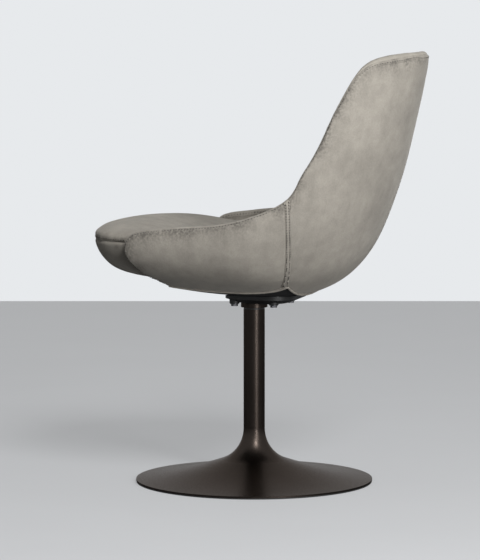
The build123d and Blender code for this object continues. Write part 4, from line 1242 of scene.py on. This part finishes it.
# %% Each slot of the record gets its finish
BRONZE, BRONZE_EDGE = (0.036, 0.029, 0.025), (0.62, 0.59, 0.57, 1.0)
finishes = {
    "velvet": velvet(),
    "black_cloth": black_cloth(),
    "foam": grained("cut foam", (0.72, 0.66, 0.50), 0.9,
                    (1500.0, 3.0, 0.7), (0.88, 1.05), (0.0006, 0.8)),
    "plywood": grained("black stained plywood", (0.020, 0.016, 0.013), 0.62,
                       (14.0, 3.0, 0.6), (0.72, 1.1), (0.0004, 0.4), drawn=(4.0, 1.0, 60.0)),
    "frame_steel": powder_coat("primed steel", (0.05, 0.052, 0.055), 0.5),
    "black_paint": powder_coat("black powder coat", (0.012, 0.012, 0.012), 0.5),
    "bronze_paint": powder_coat("dark bronze powder coat", BRONZE, 0.33, 1.0, BRONZE_EDGE),
    "bottom_board": moulded("bottom board", (0.025, 0.025, 0.025), 0.7),
    "cast_iron": grained("cast iron", (0.075, 0.07, 0.066), 0.72,
                         (300.0, 4.0, 0.7), (0.7, 1.3), (0.0008, 0.7), metallic=0.4),
    "turned_steel": bare_metal("turned steel", (0.52, 0.51, 0.50), 0.30),
    "zinc_steel": bare_metal("black zinc plated steel", (0.06, 0.06, 0.065), 0.4, (1, 1, 1), 260.0),
    "bearing_steel": bare_metal("ground bearing steel", (0.60, 0.60, 0.60), 0.14),
    "spring_steel": bare_metal("spring steel", (0.20, 0.20, 0.22), 0.36, (1, 1, 1), 200.0),
    "cage_brass": bare_metal("pressed brass", (0.72, 0.52, 0.22), 0.3, (1, 1, 1), 200.0),
    "bush_plastic": moulded("white acetal", (0.75, 0.74, 0.70), 0.45),
    "elastomer": moulded("black elastomer", (0.014, 0.014, 0.014), 0.7),
}
sewing_thread = grained("sewing thread", (0.03, 0.027, 0.022), 0.65,
                        (3000.0, 1.0), (0.7, 1.2), (0.0001, 0.6))
for node in frame["nodes"].values():
    for holder in node.material_slots:
        holder.material = finishes[holder.material.name.split(".")[0]]
for piece in [o for o in bpy.data.objects if o.type == "MESH" and "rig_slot" in o]:
    stitched = "stitches" in piece.name
    piece.data.materials.append(sewing_thread if stitched else finishes[piece["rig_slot"]])
housing_finish = powder_coat("blackened steel", (0.016, 0.015, 0.014), 0.45)
frame["nodes"]["bearing_housing"].material_slots[0].material = housing_finish
print(len(finishes), "finishes on", len(frame["nodes"]), "nodes")

# %% [markdown]
# ## Floor, camera and light
#
# The picture was taken from far away with a long lens, a little from behind and from slightly
# above, so the camera stands 6.5 m off. Its aim is the middle of the seat, and a small shift puts
# the chair where the photograph has it. Two soft lamps stand to the camera's right: a large round
# one high up, and a tall strip near the floor that draws the bright line down the column. The
# floor is turned to the camera, and its far edge is the line where it meets the pale backdrop.
# Floor and backdrop are light for the camera and dark for the lamps' bounces, so the seat's
# underside stays dark.

# %% Camera
AZIMUTH, ELEVATION = np.radians(111.0), np.radians(9.04)
DISTANCE, AIM_Z = 6.5, 0.405
PIXELS_PER_M = 530.0
PICTURE = np.array([480.0, 560.0])
BASE_AT = np.array([254.2, 480.5])     # where the base's middle lies in the picture
SENSOR = 36.0

stand = DISTANCE * np.array([
    np.sin(AZIMUTH) * np.cos(ELEVATION), -np.cos(AZIMUTH) * np.cos(ELEVATION), np.sin(ELEVATION)])
ahead = unit(np.array([0.0, 0.0, AIM_Z]) - stand)
right = unit(np.cross(ahead, [0.0, 0.0, 1.0]))
up = np.cross(right, ahead)
focal = PIXELS_PER_M * DISTANCE
drop = focal * (-stand @ up) / (-stand @ ahead)
middle = BASE_AT + np.array([0.0, drop])
camera = placed("camera", bpy.data.cameras.new("camera"))
camera.matrix_world = Matrix((
    (right[0], up[0], -ahead[0], stand[0]), (right[1], up[1], -ahead[1], stand[1]),
    (right[2], up[2], -ahead[2], stand[2]), (0, 0, 0, 1)))
camera.data.sensor_width = SENSOR
camera.data.lens = focal / PICTURE.max() * SENSOR
camera.data.shift_x = (PICTURE[0] / 2 - middle[0]) / PICTURE.max()
camera.data.shift_y = (middle[1] - PICTURE[1] / 2) / PICTURE.max()
camera.data.clip_end = 50.0
bpy.context.scene.camera = camera
print(f"lens {camera.data.lens:.1f} mm, shift {camera.data.shift_x:.4f} {camera.data.shift_y:.4f}")

# %% Floor
FLOOR_FAR, FLOOR_NEAR, FLOOR_SIDE = 3.2, 6.0, 5.0
away = unit(np.array([ahead[0], ahead[1], 0.0]))
corners = [away * u + right * v for u, v in ((-FLOOR_NEAR, -FLOOR_SIDE), (-FLOOR_NEAR, FLOOR_SIDE),
                                             (FLOOR_FAR, FLOOR_SIDE), (FLOOR_FAR, -FLOOR_SIDE))]
floor_mesh = bpy.data.meshes.new("floor")
floor_mesh.from_pydata([list(c) for c in corners], [], [(0, 1, 2, 3)])
floor = placed("floor", floor_mesh)
floor_finish, tree, shader, place = new_finish("pale floor")
seen = made(tree, "LightPath", {}, "Is Camera Ray")
clouds = spread(tree, noise(tree, place, 3.0, 3.0), 0.3, 0.7, 0.985, 1.015)
lit = combined(tree, clouds, spread(tree, seen, 0.0, 1.0, 0.28, 1.0))
feed(tree, shader, {
    "Base Color": shaded(tree, (0.33, 0.335, 0.345), lit),
    "Emission Color": (0.97, 0.985, 1.0, 1.0),
    "Emission Strength": spread(tree, seen, 0.0, 1.0, 0.0, 0.28),
    "Roughness": 0.75,
    "Specular IOR Level": 0.2,
})
floor_mesh.materials.append(floor_finish)

# %% World
WALL = (0.80, 0.82, 0.84, 1.0)
FILL = 0.19
world = bpy.data.worlds.new("studio")
bpy.context.scene.world = world
world.use_nodes = True
tree = world.node_tree
tree.nodes.clear()
path = tree.nodes.new("ShaderNodeLightPath").outputs
seen = path["Is Camera Ray"]
for name in ("Is Glossy Ray", "Is Transmission Ray"):
    seen = combined(tree, seen, path[name], "MAXIMUM")
fill = made(tree, "Background", {"Color": (1.0, 1.0, 1.0, 1.0), "Strength": FILL})
wall = made(tree, "Background", {"Color": WALL})
output = tree.nodes.new("ShaderNodeOutputWorld")
feed(tree, output, {"Surface": made(tree, "MixShader", {"Fac": seen, 1: fill, 2: wall})})

# %% Lamps
def soft_lamp(name, azimuth, elevation, away, aim_z, shape, size, power):
    """An area lamp at this bearing from the seat's middle, turned to it."""
    a, e = np.radians([azimuth, elevation])
    to_lamp = np.array([np.sin(a) * np.cos(e), -np.cos(a) * np.cos(e), np.sin(e)])
    data = bpy.data.lights.new(name, "AREA")
    data.shape, data.energy = shape, power
    data.size, data.size_y = size
    lamp = placed(name, data)
    lamp_x = unit(np.cross([0.0, 0.0, 1.0], to_lamp))
    lamp_y = np.cross(to_lamp, lamp_x)
    lamp_at = to_lamp * away + np.array([0.0, 0.0, aim_z])
    lamp.matrix_world = Matrix([[lamp_x[i], lamp_y[i], to_lamp[i], lamp_at[i]] for i in range(3)]
                               + [[0, 0, 0, 1]])
    print(f"{name} lamp at {lamp_at.round(2)}, {power} W")


soft_lamp("key", 128.0, 36.0, 5.0, 0.4, "DISK", (1.6, 1.6), 172.0)
soft_lamp("strip", 137.0, 3.0, 3.4, 0.55, "RECTANGLE", (0.60, 1.6), 64.0)
bpy.context.scene.view_settings.view_transform = "Standard"
